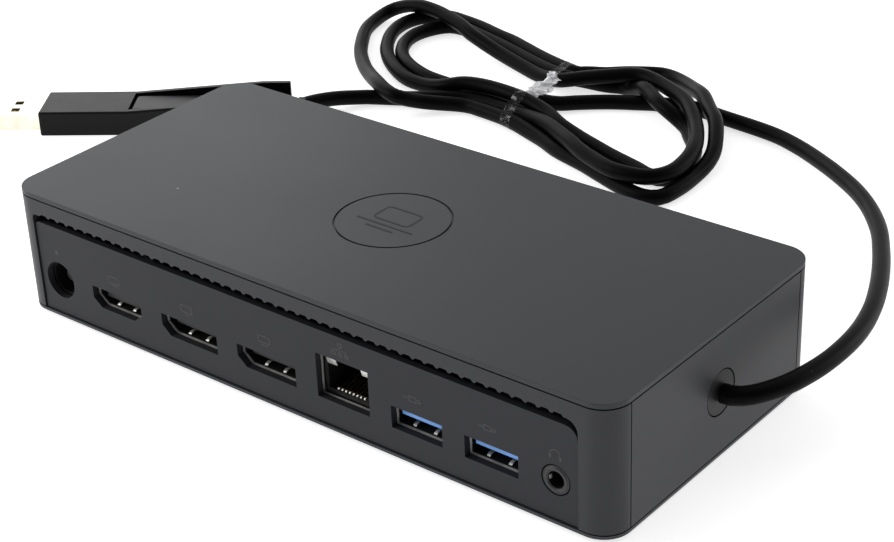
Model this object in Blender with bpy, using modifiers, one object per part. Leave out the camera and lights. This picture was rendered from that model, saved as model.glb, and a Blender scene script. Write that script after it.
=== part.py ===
"""Laptop docking station: a flat box of ports with a captive cord and an adapter on its plug.

Metres, +Z up. X runs along the length, the row of ports faces -Y, the cord leaves the +X end,
and the origin is on the table under the middle of the box.
"""

import math

import bmesh
import bpy
from mathutils import Vector

# Overall box
LENGTH = 0.1660
DEPTH = 0.0744
HEIGHT = 0.0313
CORNER_RADIUS = 0.0062
CORNER_STEPS = 12
GAP = 0.0003  # between pieces that touch
WALL = 0.0022

# Heights of the housing's layers, measured from the table or down from the top
FOOT_STAND = 0.0010  # the base sits this far above the table
BASE_LIP = 0.0007
BASE_PLATE = 0.0012
TOP_PLATE = 0.0011
SKIRT_DROP = 0.0027
SKIRT_WALL = 0.0012

# Port panels, one on each long face
PANEL_MARGIN_LEFT = 0.0065
PANEL_MARGIN_RIGHT = 0.0077
PANEL_TOP = 0.0242
PANEL_RECESS = 0.0004
PANEL_THICK = 0.0016
PANEL_RADIUS_LEFT = 0.0010
PANEL_RADIUS_RIGHT = 0.0028
VENT_HEIGHT = 0.0019  # clear slot above a panel, below the scallops
VENT_PITCH = 0.00305
VENT_SCALLOP = 0.0005
VENT_NIB = 0.0005

# Circuit board
BOARD_BOTTOM = 0.0057
BOARD_THICK = 0.0016
BOARD_EDGE_GAP = 0.0010
SOCKET_SEAT = 0.0003  # sockets stand this far above the board

# Sockets: width and height of the hole in the panel
PORT_RISE = 0.0029  # middle of the row above the board
USB_HOLE = (0.0132, 0.0052)
HDMI_HOLE = (0.0156, 0.0050)
DISPLAY_HOLE = (0.0169, 0.0050)
LAN_HOLE = (0.0142, 0.0105)
LAN_RISE = 0.0058
USB_C_HOLE = (0.0094, 0.0036)
SHELL_WALL = 0.0004
SHELL_REVEAL = 0.0002  # how far a shell stands back from the edge of its hole
HDMI_DEPTH = 0.0115
DISPLAY_DEPTH = 0.0120
USB_DEPTH = 0.0140
USB_C_DEPTH = 0.0080
# Tongues: width, underside and top from the middle of the hole, and distance back from the long face
HDMI_TONGUE = (0.0110, -0.0006, 0.0008, 0.0026)
DISPLAY_TONGUE = (0.0125, -0.0002, 0.0008, 0.0028)
USB_TONGUE = (0.0108, 0.0000, 0.0018, 0.0024)
USB_C_TONGUE = (0.0066, -0.0004, 0.0004, 0.0026)
TONGUE_ROUNDING = 0.0002
LAN_DEPTH = 0.0150
LAN_SETBACK = 0.0006  # the insert stands this far inside its can
LAN_BAY = (0.0119, 0.0010, 0.0079, 0.0035)  # width, bottom and top above the insert's floor, wall behind
LAN_LATCH = (0.0066, 0.0070, 0.0006, 0.0050)  # width, bottom above the floor, roof left above it, wall behind
POWER_Z = 0.0106
POWER_HOLE = 0.0045
POWER_BORE = 0.0039
POWER_PIN = 0.0014
POWER_DEPTH = 0.0140
AUDIO_RISE = 0.0036
AUDIO_COLLAR = 0.00315
AUDIO_BORE = 0.0019
AUDIO_DEPTH = 0.0130
AUDIO_BLOCK = 0.0080
POWER_PIN_SETBACK = 0.0012
LIGHT_RADIUS = 0.0010
LIGHT_LENGTH = 0.0040

# Places of the ports along the row, from the middle of the panel
PLACES = {
    "power": -0.0701,
    "hdmi": -0.0514,
    "displayport_a": -0.0286,
    "displayport_b": -0.0056,
    "lan": 0.0160,
    "usb_rear_a": 0.0355,
    "usb_rear_b": 0.0543,
    "line_out": 0.0698,
    "usb_front_a": 0.0080,
    "usb_front_b": 0.0290,
    "usb_c_front": 0.0470,
    "headset": 0.0625,
    "power_led": -0.0400,
}

# Feet and screws
FOOT_RADIUS = 0.0050
FOOT_POCKET = 0.0008
FOOT_X = 0.0705
FOOT_Y = 0.0285
SCREW_X = 0.0720
SCREW_Y = 0.0165
SCREW_RADIUS = 0.0012
SCREW_HEAD_RADIUS = 0.0023
SCREW_HEAD = 0.0014
SCREW_LENGTH = 0.0120
POST_RADIUS = 0.0034
SCREW_CLEARANCE = 0.0004
FOOT_ROUNDING = 0.0003
LID_ROUNDING = 0.0005

# Top emblem: an engraved ring
EMBLEM_MIDDLE = (0.0005, -0.0007)
EMBLEM_RADIUS = 0.0132
EMBLEM_LINE = 0.0005
EMBLEM_DEPTH = 0.0004

# Larger parts on the board: middle x and y, and width
CHIPS = {
    "display_chip": (-0.0060, 0.0020, 0.0170),
    "hub_chip": (0.0220, 0.0040, 0.0120),
    "network_chip": (0.0100, -0.0085, 0.0080),
}
CHIP_THICK = 0.0013
SPREADER_LOW = (-0.0240, -0.0130)
SPREADER_HIGH = (0.0320, 0.0140)
SPREADER_THICK = 0.0015
COIL_PLACES = ((-0.0620, -0.0095), (-0.0520, -0.0095))
COIL_WIDTH = 0.0070
COIL_HEIGHT = 0.0032
CAPACITOR_PLACE = (-0.0600, 0.0040)
CAPACITOR_RADIUS = 0.0031
CAPACITOR_HEIGHT = 0.0070
HEADER_X = (0.0560, 0.0620)
HEADER_WIDTH = 0.0130
HEADER_HEIGHT = 0.0055

# Security slot in the -X end
SLOT_WIDTH = 0.0072
SLOT_HEIGHT = 0.0033
SLOT_Z = 0.0150
SLOT_PLATE_BORDER = 0.0030
SLOT_PLATE_THICK = 0.0010

# Cord, plug and adapter
CORD_DIAMETER = 0.0042
BUSH_RADIUS = 0.0049
BUSH_FLANGE = 0.0064
BUSH_Y = 0.0008
BUSH_Z = 0.0161
HANK_HEIGHT = 0.0084
TIE_WIDTH = 0.0030
TIE_THICK = 0.0006
PLUG_START = Vector((-0.1592, 0.0356, 0.0))  # middle of the adapter's end, on the table
PLUG_ANGLE = math.radians(35.0)
ADAPTER_LENGTH = 0.0690
ADAPTER_WIDTH = 0.0148
ADAPTER_HEIGHT = 0.0070
ADAPTER_RISE = 0.0028  # the cradle's walls rise this much towards the cord
ADAPTER_SOLID = 0.0250  # the closed stretch ahead of the cradle
CRADLE_FLOOR = 0.0012
CRADLE_WALL = 0.0017
PLUG_HEIGHT = 0.0052
PLUG_TAIL = 0.0040  # the cradle runs on past the plug by this much
C_SHELL = (0.0065, 0.00834, 0.00256)
A_SHELL = (0.0145, 0.0120, 0.0045)
A_SHELL_WALL = 0.0004
A_TONGUE_THICK = 0.0018
A_TONGUE_SETBACK = 0.0005
A_WINDOW = (0.0088, 0.0064)  # start and end of the two windows, back from the adapter's end
A_WINDOW_Y = 0.0024
A_WINDOW_WIDTH = 0.0024
ADAPTER_CREST = 0.0080  # length of the level top at the cord's end
ADAPTER_ROUNDING = 0.0010
PLUG_ROUNDING = 0.0012
C_SOCKET_SPARE = 0.0010
C_ROUNDING = 0.0010

# The routes below, the plug and the hank are drawn for an end face at this x, and move with it
ROUTE_END_X = 0.0830
# The cord's free stretch, from the bush to the hank
FREE_ROUTE = (
    (0.0833, 0.0008, 0.0161), (0.0859, 0.0012, 0.0161), (0.0884, 0.0036, 0.0160), (0.0908, 0.0080, 0.0160),
    (0.0925, 0.0135, 0.0159), (0.0936, 0.0223, 0.0156), (0.0934, 0.0322, 0.0151), (0.0919, 0.0418, 0.0143),
    (0.0890, 0.0521, 0.0133), (0.0852, 0.0620, 0.0122), (0.0804, 0.0726, 0.0110), (0.0749, 0.0833, 0.0097),
    (0.0686, 0.0942, 0.0084), (0.0607, 0.1049, 0.0071), (0.0524, 0.1138, 0.0059), (0.0436, 0.1213, 0.0048),
    (0.0345, 0.1281, 0.0037), (0.0244, 0.1344, 0.0028), (0.0139, 0.1387, 0.0023), (0.0058, 0.1403, 0.0022),
    (-0.0012, 0.1406, 0.0022),
)
# The cord's end stretch, from the hank to the plug
END_ROUTE = (
    (-0.0925, 0.0979, 0.0023), (-0.0950, 0.0950, 0.0026), (-0.0972, 0.0912, 0.0032),
    (-0.0988, 0.0872, 0.0038), (-0.1000, 0.0830, 0.0043), (-0.1009, 0.0795, 0.0045),
    (-0.1022, 0.0764, 0.0044), (-0.1040, 0.0744, 0.0042), (-0.1057, 0.0731, 0.0041),
)
# The lead from the bush down to its header on the board, after its start
INNER_ROUTE = (
    (0.0740, 0.0008, 0.0158), (0.0700, 0.0008, 0.0140), (0.0665, 0.0008, 0.0118), (0.0625, 0.0008, 0.0112),
)
TUBE_STEP = 2.4  # diameters between the points of a tube
TUBE_STUB = 0.3  # a short first and last step, in diameters, so that the ends face their neighbours squarely
CURVE_SAMPLES = 24

# The outline of the tied hank, seen from above
HANK_OUTLINE = (
    (-0.127, 0.155), (-0.119, 0.161), (-0.106, 0.160), (-0.092, 0.156), (-0.078, 0.150), (-0.066, 0.145),
    (-0.056, 0.142), (-0.047, 0.145), (-0.038, 0.152), (-0.029, 0.156), (-0.019, 0.153), (-0.008, 0.144),
    (0.003, 0.132), (0.011, 0.119), (0.014, 0.104), (0.013, 0.091), (0.007, 0.084), (-0.003, 0.085),
    (-0.014, 0.089), (-0.026, 0.094), (-0.038, 0.099), (-0.049, 0.101), (-0.061, 0.099), (-0.073, 0.096),
    (-0.083, 0.097), (-0.095, 0.101), (-0.107, 0.108), (-0.118, 0.120), (-0.126, 0.134), (-0.129, 0.146),
)
TIE_TOP = Vector((-0.0560, 0.1420, 0.0))
TIE_BOTTOM = Vector((-0.0490, 0.1010, 0.0))

HALF_LENGTH = LENGTH / 2
HALF_DEPTH = DEPTH / 2
BASE_Z = FOOT_STAND
FRAME_Z = (BASE_Z + BASE_LIP + GAP, HEIGHT - TOP_PLATE - GAP)
SEAM_Y = HALF_DEPTH - CORNER_RADIUS
PANEL_FRONT = HALF_DEPTH - PANEL_RECESS
PANEL_BACK = PANEL_FRONT - PANEL_THICK
SOCKET_FRONT = PANEL_BACK - GAP
BOARD_TOP = BOARD_BOTTOM + BOARD_THICK
PORT_Z = BOARD_TOP + PORT_RISE
LAN_Z = BOARD_TOP + LAN_RISE
AUDIO_Z = BOARD_TOP + AUDIO_RISE
CORD_SHIFT = Vector((HALF_LENGTH - ROUTE_END_X, 0.0, 0.0))
LEAD_START = (HALF_LENGTH - 2 * WALL - 2 * GAP, BUSH_Y, BUSH_Z)
PLUG_MIDDLE = CRADLE_FLOOR + GAP + PLUG_HEIGHT / 2

for old in list(bpy.data.objects):
    bpy.data.objects.remove(old, do_unlink=True)

parts = bpy.data.collections.new("docking_station")
cutters = bpy.data.collections.new("cutters")
bpy.context.scene.collection.children.link(parts)
bpy.context.scene.collection.children.link(cutters)


def material(name, colour, roughness, metallic=0.0):
    made = bpy.data.materials.new(name)
    made.use_nodes = True
    shader = made.node_tree.nodes["Principled BSDF"]
    shader.inputs["Base Color"].default_value = (*colour, 1.0)
    shader.inputs["Roughness"].default_value = roughness
    shader.inputs["Metallic"].default_value = metallic
    made.diffuse_color = (*colour, 1.0)
    return made


CHARCOAL = material("charcoal_plastic", (0.045, 0.046, 0.050), 0.55)
SOCKET_BLACK = material("socket_black", (0.010, 0.010, 0.011), 0.50)
BLUE = material("usb_blue", (0.05, 0.22, 0.75), 0.40)
SHIELD = material("shield_metal", (0.62, 0.61, 0.58), 0.30, 1.0)
ALUMINIUM = material("aluminium", (0.70, 0.70, 0.70), 0.45, 1.0)
STEEL = material("screw_steel", (0.35, 0.35, 0.36), 0.35, 1.0)
GREEN_BOARD = material("circuit_board", (0.02, 0.10, 0.05), 0.45)
CHIP_BLACK = material("chip_black", (0.015, 0.015, 0.016), 0.45)
RUBBER = material("rubber", (0.020, 0.020, 0.021), 0.85)
CORD_BLACK = material("cord_black", (0.013, 0.013, 0.015), 0.50)
ADAPTER_BLACK = material("adapter_black", (0.018, 0.018, 0.022), 0.35)
PLUG_METAL = material("plug_metal", (0.85, 0.80, 0.66), 0.25, 1.0)
TIE_CLEAR = material("tie_clear", (0.80, 0.80, 0.80), 0.20)
LENS = material("led_lens", (0.85, 0.87, 0.90), 0.15)


def add(name, mesh, slot, collection=parts):
    """An object of this mesh in a collection; cutters are kept out of the model."""
    made = bpy.data.objects.new(name, mesh)
    collection.objects.link(made)
    if slot:
        made.data.materials.append(slot)
    if collection == cutters:
        made.hide_render = True
        made.display_type = "WIRE"
    return made


def bevel(obj, width, segments=2):
    made = obj.modifiers.new("rounded_edges", "BEVEL")
    made.width = width
    made.segments = segments
    made.limit_method = "ANGLE"
    made.angle_limit = math.radians(40)
    return obj


def box(name, low, high, slot=None, collection=parts, rounding=0.0):
    """A box between two corners."""
    low, high = Vector(low), Vector(high)
    mesh = bpy.data.meshes.new(name)
    shape = bmesh.new()
    bmesh.ops.create_cube(shape, size=1.0)
    bmesh.ops.scale(shape, vec=high - low, verts=shape.verts)
    shape.to_mesh(mesh)
    shape.free()
    made = add(name, mesh, slot, collection)
    made.location = (low + high) / 2
    return bevel(made, rounding) if rounding else made


TURNS = {
    "X": (math.pi / 2, 0.0, math.pi / 2),
    "Y": (math.pi / 2, 0.0, 0.0),
    "Z": (0.0, 0.0, 0.0),
}


def rod(name, axis, centre, start, end, radius, slot=None, collection=parts, sides=32):
    """A cylinder along an axis, from start to end on that axis, centred on the other two."""
    mesh = bpy.data.meshes.new(name)
    shape = bmesh.new()
    bmesh.ops.create_cone(
        shape, cap_ends=True, segments=sides, radius1=radius, radius2=radius, depth=abs(end - start)
    )
    for face in shape.faces:
        face.smooth = len(face.verts) == 4
    shape.to_mesh(mesh)
    shape.free()
    made = add(name, mesh, slot, collection)
    made.rotation_euler = TURNS[axis]
    middle = (start + end) / 2
    a, b = centre
    made.location = {"X": (middle, a, b), "Y": (a, middle, b), "Z": (a, b, middle)}[axis]
    return made


def prism(name, axis, outline, start, end, slot=None, collection=parts):
    """A flat outline pushed along an axis. The outline is (y, z) for X, (x, z) for Y, (x, y) for Z."""
    flat = bpy.data.curves.new(name, "CURVE")
    flat.dimensions = "2D"
    flat.fill_mode = "BOTH"
    flat.extrude = abs(end - start) / 2
    line = flat.splines.new("POLY")
    line.points.add(len(outline) - 1)
    for point, place in zip(line.points, outline):
        point.co = (place[0], place[1], 0.0, 1.0)
    line.use_cyclic_u = True
    guide = bpy.data.objects.new(name + "_outline", flat)
    cutters.objects.link(guide)
    guide.hide_render = True
    graph = bpy.context.evaluated_depsgraph_get()
    mesh = bpy.data.meshes.new_from_object(guide.evaluated_get(graph), depsgraph=graph)
    bpy.data.objects.remove(guide, do_unlink=True)
    shape = bmesh.new()
    shape.from_mesh(mesh)
    bmesh.ops.remove_doubles(shape, verts=shape.verts, dist=1e-6)
    bmesh.ops.recalc_face_normals(shape, faces=shape.faces)
    shape.to_mesh(mesh)
    shape.free()
    mesh.name = name
    made = add(name, mesh, slot, collection)
    made.rotation_euler = TURNS[axis]
    middle = (start + end) / 2
    made.location = {"X": (middle, 0, 0), "Y": (0, middle, 0), "Z": (0, 0, middle)}[axis]
    return made


def boolean(target, other, operation):
    made = target.modifiers.new(other.name, "BOOLEAN")
    made.operation = operation
    made.object = other
    return target


def cut(target, *others):
    for other in others:
        boolean(target, other, "DIFFERENCE")
    return target


def join(target, *others):
    for other in others:
        boolean(target, other, "UNION")
    return target


def arc(centre, radius, start, end, steps):
    """Points of an arc, angles in degrees."""
    angles = [math.radians(start + (end - start) * i / steps) for i in range(steps + 1)]
    return [(centre[0] + radius * math.cos(a), centre[1] + radius * math.sin(a)) for a in angles]


def rounded_rectangle(x0, x1, y0, y1, radii, steps=4):
    """Counter-clockwise outline with radii at lower left, lower right, upper right and upper left."""
    corners = ((x0, y0, 1, 1, 180), (x1, y0, -1, 1, 270), (x1, y1, -1, -1, 0), (x0, y1, 1, -1, 90))
    points = []
    for (x, y, dx, dy, angle), radius in zip(corners, radii):
        if radius > 0:
            points += arc((x + dx * radius, y + dy * radius), radius, angle, angle + 90, steps)
        else:
            points.append((x, y))
    return points


def housing_outline(inset, steps=CORNER_STEPS):
    """The outline of the whole box seen from above, moved in by inset."""
    x, y, r = HALF_LENGTH - inset, HALF_DEPTH - inset, CORNER_RADIUS - inset
    return rounded_rectangle(-x, x, -y, y, (r, r, r, r), steps)


def window_outline(side):
    """The opening in a long wall for its panel, open at the foot, with scallops along its top."""
    left = -HALF_LENGTH + PANEL_MARGIN_LEFT
    right = HALF_LENGTH - PANEL_MARGIN_RIGHT
    top = PANEL_TOP + VENT_HEIGHT
    scallops = int((right - left - PANEL_RADIUS_LEFT - PANEL_RADIUS_RIGHT) / VENT_PITCH)
    foot = FRAME_Z[0] - WALL
    points = [(left, foot), (right, foot)]
    points += arc((right - PANEL_RADIUS_RIGHT, top - PANEL_RADIUS_RIGHT), PANEL_RADIUS_RIGHT, 0, 90, 8)
    start = right - PANEL_RADIUS_RIGHT - VENT_NIB
    for i in range(scallops):
        near = start - i * VENT_PITCH
        far = near - VENT_PITCH + VENT_NIB
        points += [(near, top), (near - VENT_SCALLOP, top + VENT_SCALLOP)]
        points += [(far + VENT_SCALLOP, top + VENT_SCALLOP), (far, top)]
    points += arc((left + PANEL_RADIUS_LEFT, top - PANEL_RADIUS_LEFT), PANEL_RADIUS_LEFT, 90, 180, 5)
    return [(side * x, z) for x, z in points]


def wall_frame(name, side):
    """A long wall with its two rounded corners, up to the seams of the end panels. side is -1 or 1."""
    outer, inner = CORNER_RADIUS, CORNER_RADIUS - WALL
    x, y = HALF_LENGTH - CORNER_RADIUS, SEAM_Y
    points = arc((-x, -y), outer, 180, 270, CORNER_STEPS) + arc((x, -y), outer, 270, 360, CORNER_STEPS)
    points += arc((x, -y), inner, 360, 270, 4) + arc((-x, -y), inner, 270, 180, 4)
    frame = prism(name, "Z", [(px, -side * py) for px, py in points], *FRAME_Z, CHARCOAL)
    reach = sorted((side * (HALF_DEPTH - 3 * WALL), side * (HALF_DEPTH + WALL)))
    return cut(frame, prism(name + "_window", "Y", window_outline(-side), *reach, None, cutters))


def port_panel(name, side):
    """The plate that carries a row of ports, standing in the window of its wall."""
    left = -HALF_LENGTH + PANEL_MARGIN_LEFT + GAP
    right = HALF_LENGTH - PANEL_MARGIN_RIGHT - GAP
    radii = (0, 0, PANEL_RADIUS_RIGHT, PANEL_RADIUS_LEFT)
    outline = rounded_rectangle(left, right, FRAME_Z[0], PANEL_TOP, radii)
    outline = [(-side * x, z) for x, z in outline]
    return prism(name, "Y", outline, *sorted((side * PANEL_BACK, side * PANEL_FRONT)), CHARCOAL)


def plain_outline(width, height):
    w, h = width / 2, height / 2
    return [(-w, -h), (w, -h), (w, h), (-w, h)]


def hdmi_outline(width, height):
    """A wide top on a foot whose sides slope in."""
    w, h = width / 2, height / 2
    return [(-w * 0.68, -h), (w * 0.68, -h), (w, -h * 0.20), (w, h), (-w, h), (-w, -h * 0.20)]


def display_outline(width, height):
    """A plain rectangle with one corner cut off."""
    w, h = width / 2, height / 2
    return [(-w * 0.70, -h), (w, -h), (w, h), (-w, h), (-w, -h * 0.15)]


def round_outline(width, height):
    r = height / 2
    return rounded_rectangle(-width / 2, width / 2, -r, r, (r * 0.95,) * 4, 5)


def moved(outline, x, z, side):
    return [(-side * px + x, pz + z) for px, pz in outline]


def socket(name, panel, side, shape, hole, depth, tongue, tongue_slot, centre_z=PORT_Z):
    """A socket behind its hole in the panel: a metal shell, closed at the back, and the tongue in it."""
    x = PLACES[name]
    front, back = side * SOCKET_FRONT, side * (SOCKET_FRONT - depth)
    width, height = hole[0] - 2 * SHELL_REVEAL, hole[1] - 2 * SHELL_REVEAL
    outside = (width + 2 * SHELL_WALL, height + 2 * SHELL_WALL)
    through = sorted((side * (PANEL_BACK - WALL), side * (HALF_DEPTH + WALL)))
    cut(panel, prism(name + "_hole", "Y", moved(shape(*hole), x, centre_z, side), *through, None, cutters))
    shell_outline = moved(shape(*outside), x, centre_z, side)
    inner_outline = moved(shape(width, height), x, centre_z, side)
    shell = prism(name + "_shell", "Y", shell_outline, *sorted((front, back)), SHIELD)
    reach = sorted((side * (SOCKET_FRONT + WALL), back + side * SHELL_WALL))
    cut(shell, prism(name + "_cavity", "Y", inner_outline, *reach, None, cutters))
    wide, low, high, recess = tongue
    root = back + side * (SHELL_WALL + GAP)
    tip = side * (HALF_DEPTH - recess)
    box(
        name + "_tongue",
        (x - wide / 2, min(root, tip), centre_z + low),
        (x + wide / 2, max(root, tip), centre_z + high),
        tongue_slot,
        rounding=TONGUE_ROUNDING,
    )


def round_jack(name, panel, side):
    """A round jack: a collar through the panel on a block, with one bore."""
    x = PLACES[name]
    z = AUDIO_Z
    through = sorted((side * (PANEL_BACK - WALL), side * (HALF_DEPTH + WALL)))
    cut(panel, rod(name + "_hole", "Y", (x, z), *through, AUDIO_COLLAR + GAP, None, cutters))
    back = side * (SOCKET_FRONT - AUDIO_DEPTH)
    low = BOARD_TOP + SOCKET_SEAT
    body = box(
        name + "_jack",
        (x - AUDIO_BLOCK / 2, min(side * SOCKET_FRONT, back), low),
        (x + AUDIO_BLOCK / 2, max(side * SOCKET_FRONT, back), 2 * z - low),
        SOCKET_BLACK,
    )
    collar = sorted((side * (SOCKET_FRONT - WALL), side * (PANEL_FRONT - GAP / 3)))
    join(body, rod(name + "_collar", "Y", (x, z), *collar, AUDIO_COLLAR, None, cutters))
    bore = sorted((back + side * WALL, side * (HALF_DEPTH + WALL)))
    cut(body, rod(name + "_bore", "Y", (x, z), *bore, AUDIO_BORE, None, cutters))


def base_cover():
    """The floor of the box: a lip flush with the walls, a plate inside them, posts and pockets."""
    cover = prism("base_cover", "Z", housing_outline(0.0), BASE_Z, BASE_Z + BASE_LIP, CHARCOAL)
    plate_top = BASE_Z + BASE_LIP + BASE_PLATE
    inset = WALL + GAP
    start = BASE_Z + BASE_LIP / 3
    join(cover, prism("base_plate", "Z", housing_outline(inset, 4), start, plate_top, None, cutters))
    for i, (x, y) in enumerate(corner_places(SCREW_X, SCREW_Y)):
        join(cover, rod(f"base_post_{i}", "Z", (x, y), start + BASE_LIP / 3, BOARD_BOTTOM - GAP,
                        POST_RADIUS, None, cutters, 24))
        cut(cover, rod(f"base_screw_hole_{i}", "Z", (x, y), 0, BOARD_TOP,
                       SCREW_RADIUS + SCREW_CLEARANCE, None, cutters, 20))
        head_top = BASE_Z + SCREW_HEAD + GAP
        cut(cover, rod(f"base_screw_sink_{i}", "Z", (x, y), 0, head_top, SCREW_HEAD_RADIUS + GAP,
                       None, cutters, 20))
    for i, (x, y) in enumerate(corner_places(FOOT_X, FOOT_Y)):
        cut(cover, rod(f"foot_pocket_{i}", "Z", (x, y), 0, BASE_Z + FOOT_POCKET, FOOT_RADIUS + GAP,
                       None, cutters))


def top_cover():
    """The lid: a plate with a skirt inside the walls, four bosses for the screws, and the emblem."""
    low = HEIGHT - TOP_PLATE
    cover = prism("top_cover", "Z", housing_outline(0.0), low, HEIGHT, CHARCOAL)
    bevel(cover, LID_ROUNDING)
    inset = WALL + GAP
    skirt = prism("skirt", "Z", housing_outline(inset, 4), low - SKIRT_DROP, low + TOP_PLATE / 2,
                  None, cutters)
    cut(skirt, prism("skirt_inside", "Z", housing_outline(inset + SKIRT_WALL, 4), low - 2 * SKIRT_DROP,
                     low, None, cutters))
    join(cover, skirt)
    for i, (x, y) in enumerate(corner_places(SCREW_X, SCREW_Y)):
        join(cover, rod(f"lid_boss_{i}", "Z", (x, y), BOARD_TOP + GAP, low + TOP_PLATE / 2,
                        POST_RADIUS, None, cutters, 24))
        pilot_top = BASE_Z + SCREW_LENGTH + SCREW_HEAD + WALL
        cut(cover, rod(f"lid_pilot_{i}", "Z", (x, y), BOARD_TOP - GAP, pilot_top,
                       SCREW_RADIUS + SCREW_CLEARANCE, None, cutters, 20))
    ring = rod("emblem_ring", "Z", EMBLEM_MIDDLE, HEIGHT - EMBLEM_DEPTH, HEIGHT + EMBLEM_DEPTH, EMBLEM_RADIUS,
               None, cutters, 64)
    cut(ring, rod("emblem_core", "Z", EMBLEM_MIDDLE, HEIGHT - 2 * EMBLEM_DEPTH, HEIGHT + 2 * EMBLEM_DEPTH,
                  EMBLEM_RADIUS - EMBLEM_LINE, None, cutters, 64))
    cut(cover, ring)


def corner_places(x, y):
    return [(x, y), (-x, y), (-x, -y), (x, -y)]


def end_panel(name, side):
    """The flat wall of an end, between the seams."""
    low, high = FRAME_Z
    start, end = sorted((side * (HALF_LENGTH - WALL), side * HALF_LENGTH))
    return box(name, (start, -SEAM_Y + GAP, low), (end, SEAM_Y - GAP, high), CHARCOAL)


def security_slot():
    """The hole for a lock in the -X end, and the metal plate behind it that takes the lock's pull."""
    panel = end_panel("end_panel_lock", -1)
    w, h = SLOT_WIDTH / 2, SLOT_HEIGHT / 2
    reach = (-HALF_LENGTH - WALL, -HALF_LENGTH + 4 * WALL)
    border = SLOT_PLATE_BORDER
    slot = rounded_rectangle(-w, w, SLOT_Z - h, SLOT_Z + h, (h * 0.9,) * 4, 4)
    cut(panel, prism("lock_slot_cut", "X", slot, *reach, None, cutters))
    inside = -HALF_LENGTH + WALL + GAP
    plate = box(
        "lock_slot_plate",
        (inside, -w - border, SLOT_Z - h - border),
        (inside + SLOT_PLATE_THICK, w + border, SLOT_Z + h + border),
        STEEL,
    )
    inner = rounded_rectangle(-w + GAP, w - GAP, SLOT_Z - h + GAP, SLOT_Z + h - GAP, (h * 0.7,) * 4, 4)
    cut(plate, prism("lock_plate_cut", "X", inner, *reach, None, cutters))


def cord_bush():
    """The round bush that the cord leaves the +X end through, flush outside with a flange inside."""
    panel = end_panel("end_panel_cord", 1)
    centre = (BUSH_Y, BUSH_Z)
    cut(panel, rod("bush_hole", "X", centre, HALF_LENGTH - 2 * WALL, HALF_LENGTH + WALL, BUSH_RADIUS + GAP,
                   None, cutters, 40))
    inside = HALF_LENGTH - WALL - GAP
    bush = rod("cord_bush", "X", centre, inside - WALL, HALF_LENGTH - GAP / 3, BUSH_RADIUS,
               RUBBER, parts, 40)
    join(bush, rod("bush_flange", "X", centre, inside - WALL, inside, BUSH_FLANGE, None, cutters, 40))


def board():
    """The circuit board, with a notch for the power jack and holes for the screws."""
    x, y = HALF_LENGTH - WALL - 2 * BOARD_EDGE_GAP, PANEL_BACK - BOARD_EDGE_GAP
    notch_x = PLACES["power"] + POWER_BORE + SHELL_WALL + 4 * GAP + BOARD_EDGE_GAP
    notch_y = -SOCKET_FRONT + POWER_DEPTH + BOARD_EDGE_GAP
    outline = [(notch_x, -y), (x, -y), (x, y), (-x, y), (-x, notch_y), (notch_x, notch_y)]
    plate = prism("main_board", "Z", outline, BOARD_BOTTOM, BOARD_TOP, GREEN_BOARD)
    for i, (px, py) in enumerate(corner_places(SCREW_X, SCREW_Y)):
        cut(plate, rod(f"board_hole_{i}", "Z", (px, py), 0, HEIGHT, SCREW_RADIUS + SCREW_CLEARANCE,
                       None, cutters, 20))


def board_parts():
    """The larger things on the board: chips under the spreader, coils, a capacitor, the cord's header."""
    seat = BOARD_TOP + SOCKET_SEAT
    for name, (x, y, width) in CHIPS.items():
        w = width / 2
        box(name, (x - w, y - w, seat), (x + w, y + w, seat + CHIP_THICK), CHIP_BLACK)
    low = seat + CHIP_THICK + GAP
    box("heat_spreader", (*SPREADER_LOW, low), (*SPREADER_HIGH, low + SPREADER_THICK), ALUMINIUM,
        rounding=GAP)
    w = COIL_WIDTH / 2
    for i, (x, y) in enumerate(COIL_PLACES, 1):
        box(f"power_coil_{i}", (x - w, y - w, seat), (x + w, y + w, seat + COIL_HEIGHT), CHIP_BLACK,
            rounding=2 * GAP)
    rod("capacitor", "Z", CAPACITOR_PLACE, seat, seat + CAPACITOR_HEIGHT, CAPACITOR_RADIUS,
        ALUMINIUM, parts, 28)
    near, far = (x + CORD_SHIFT.x for x in HEADER_X)
    w = HEADER_WIDTH / 2
    box("cord_header", (near, BUSH_Y - w, seat), (far, BUSH_Y + w, seat + HEADER_HEIGHT), SOCKET_BLACK)


def power_jack(panel):
    """The round power inlet: a block with a bore, and the pin in the middle of it."""
    x, z = PLACES["power"], POWER_Z
    through = (-HALF_DEPTH - WALL, -PANEL_BACK + WALL)
    cut(panel, rod("power_hole", "Y", (x, z), *through, POWER_HOLE, None, cutters, 40))
    w = POWER_BORE + SHELL_WALL + 2 * GAP
    front = -SOCKET_FRONT
    block = box("power_jack_body", (x - w, front, z - w), (x + w, front + POWER_DEPTH, z + w), SOCKET_BLACK)
    end = front + POWER_DEPTH - WALL
    cut(block, rod("power_bore", "Y", (x, z), front - WALL, end, POWER_BORE, None, cutters, 36))
    rod("power_jack_pin", "Y", (x, z), front + POWER_PIN_SETBACK, end - GAP, POWER_PIN, SHIELD, parts, 24)


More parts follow.
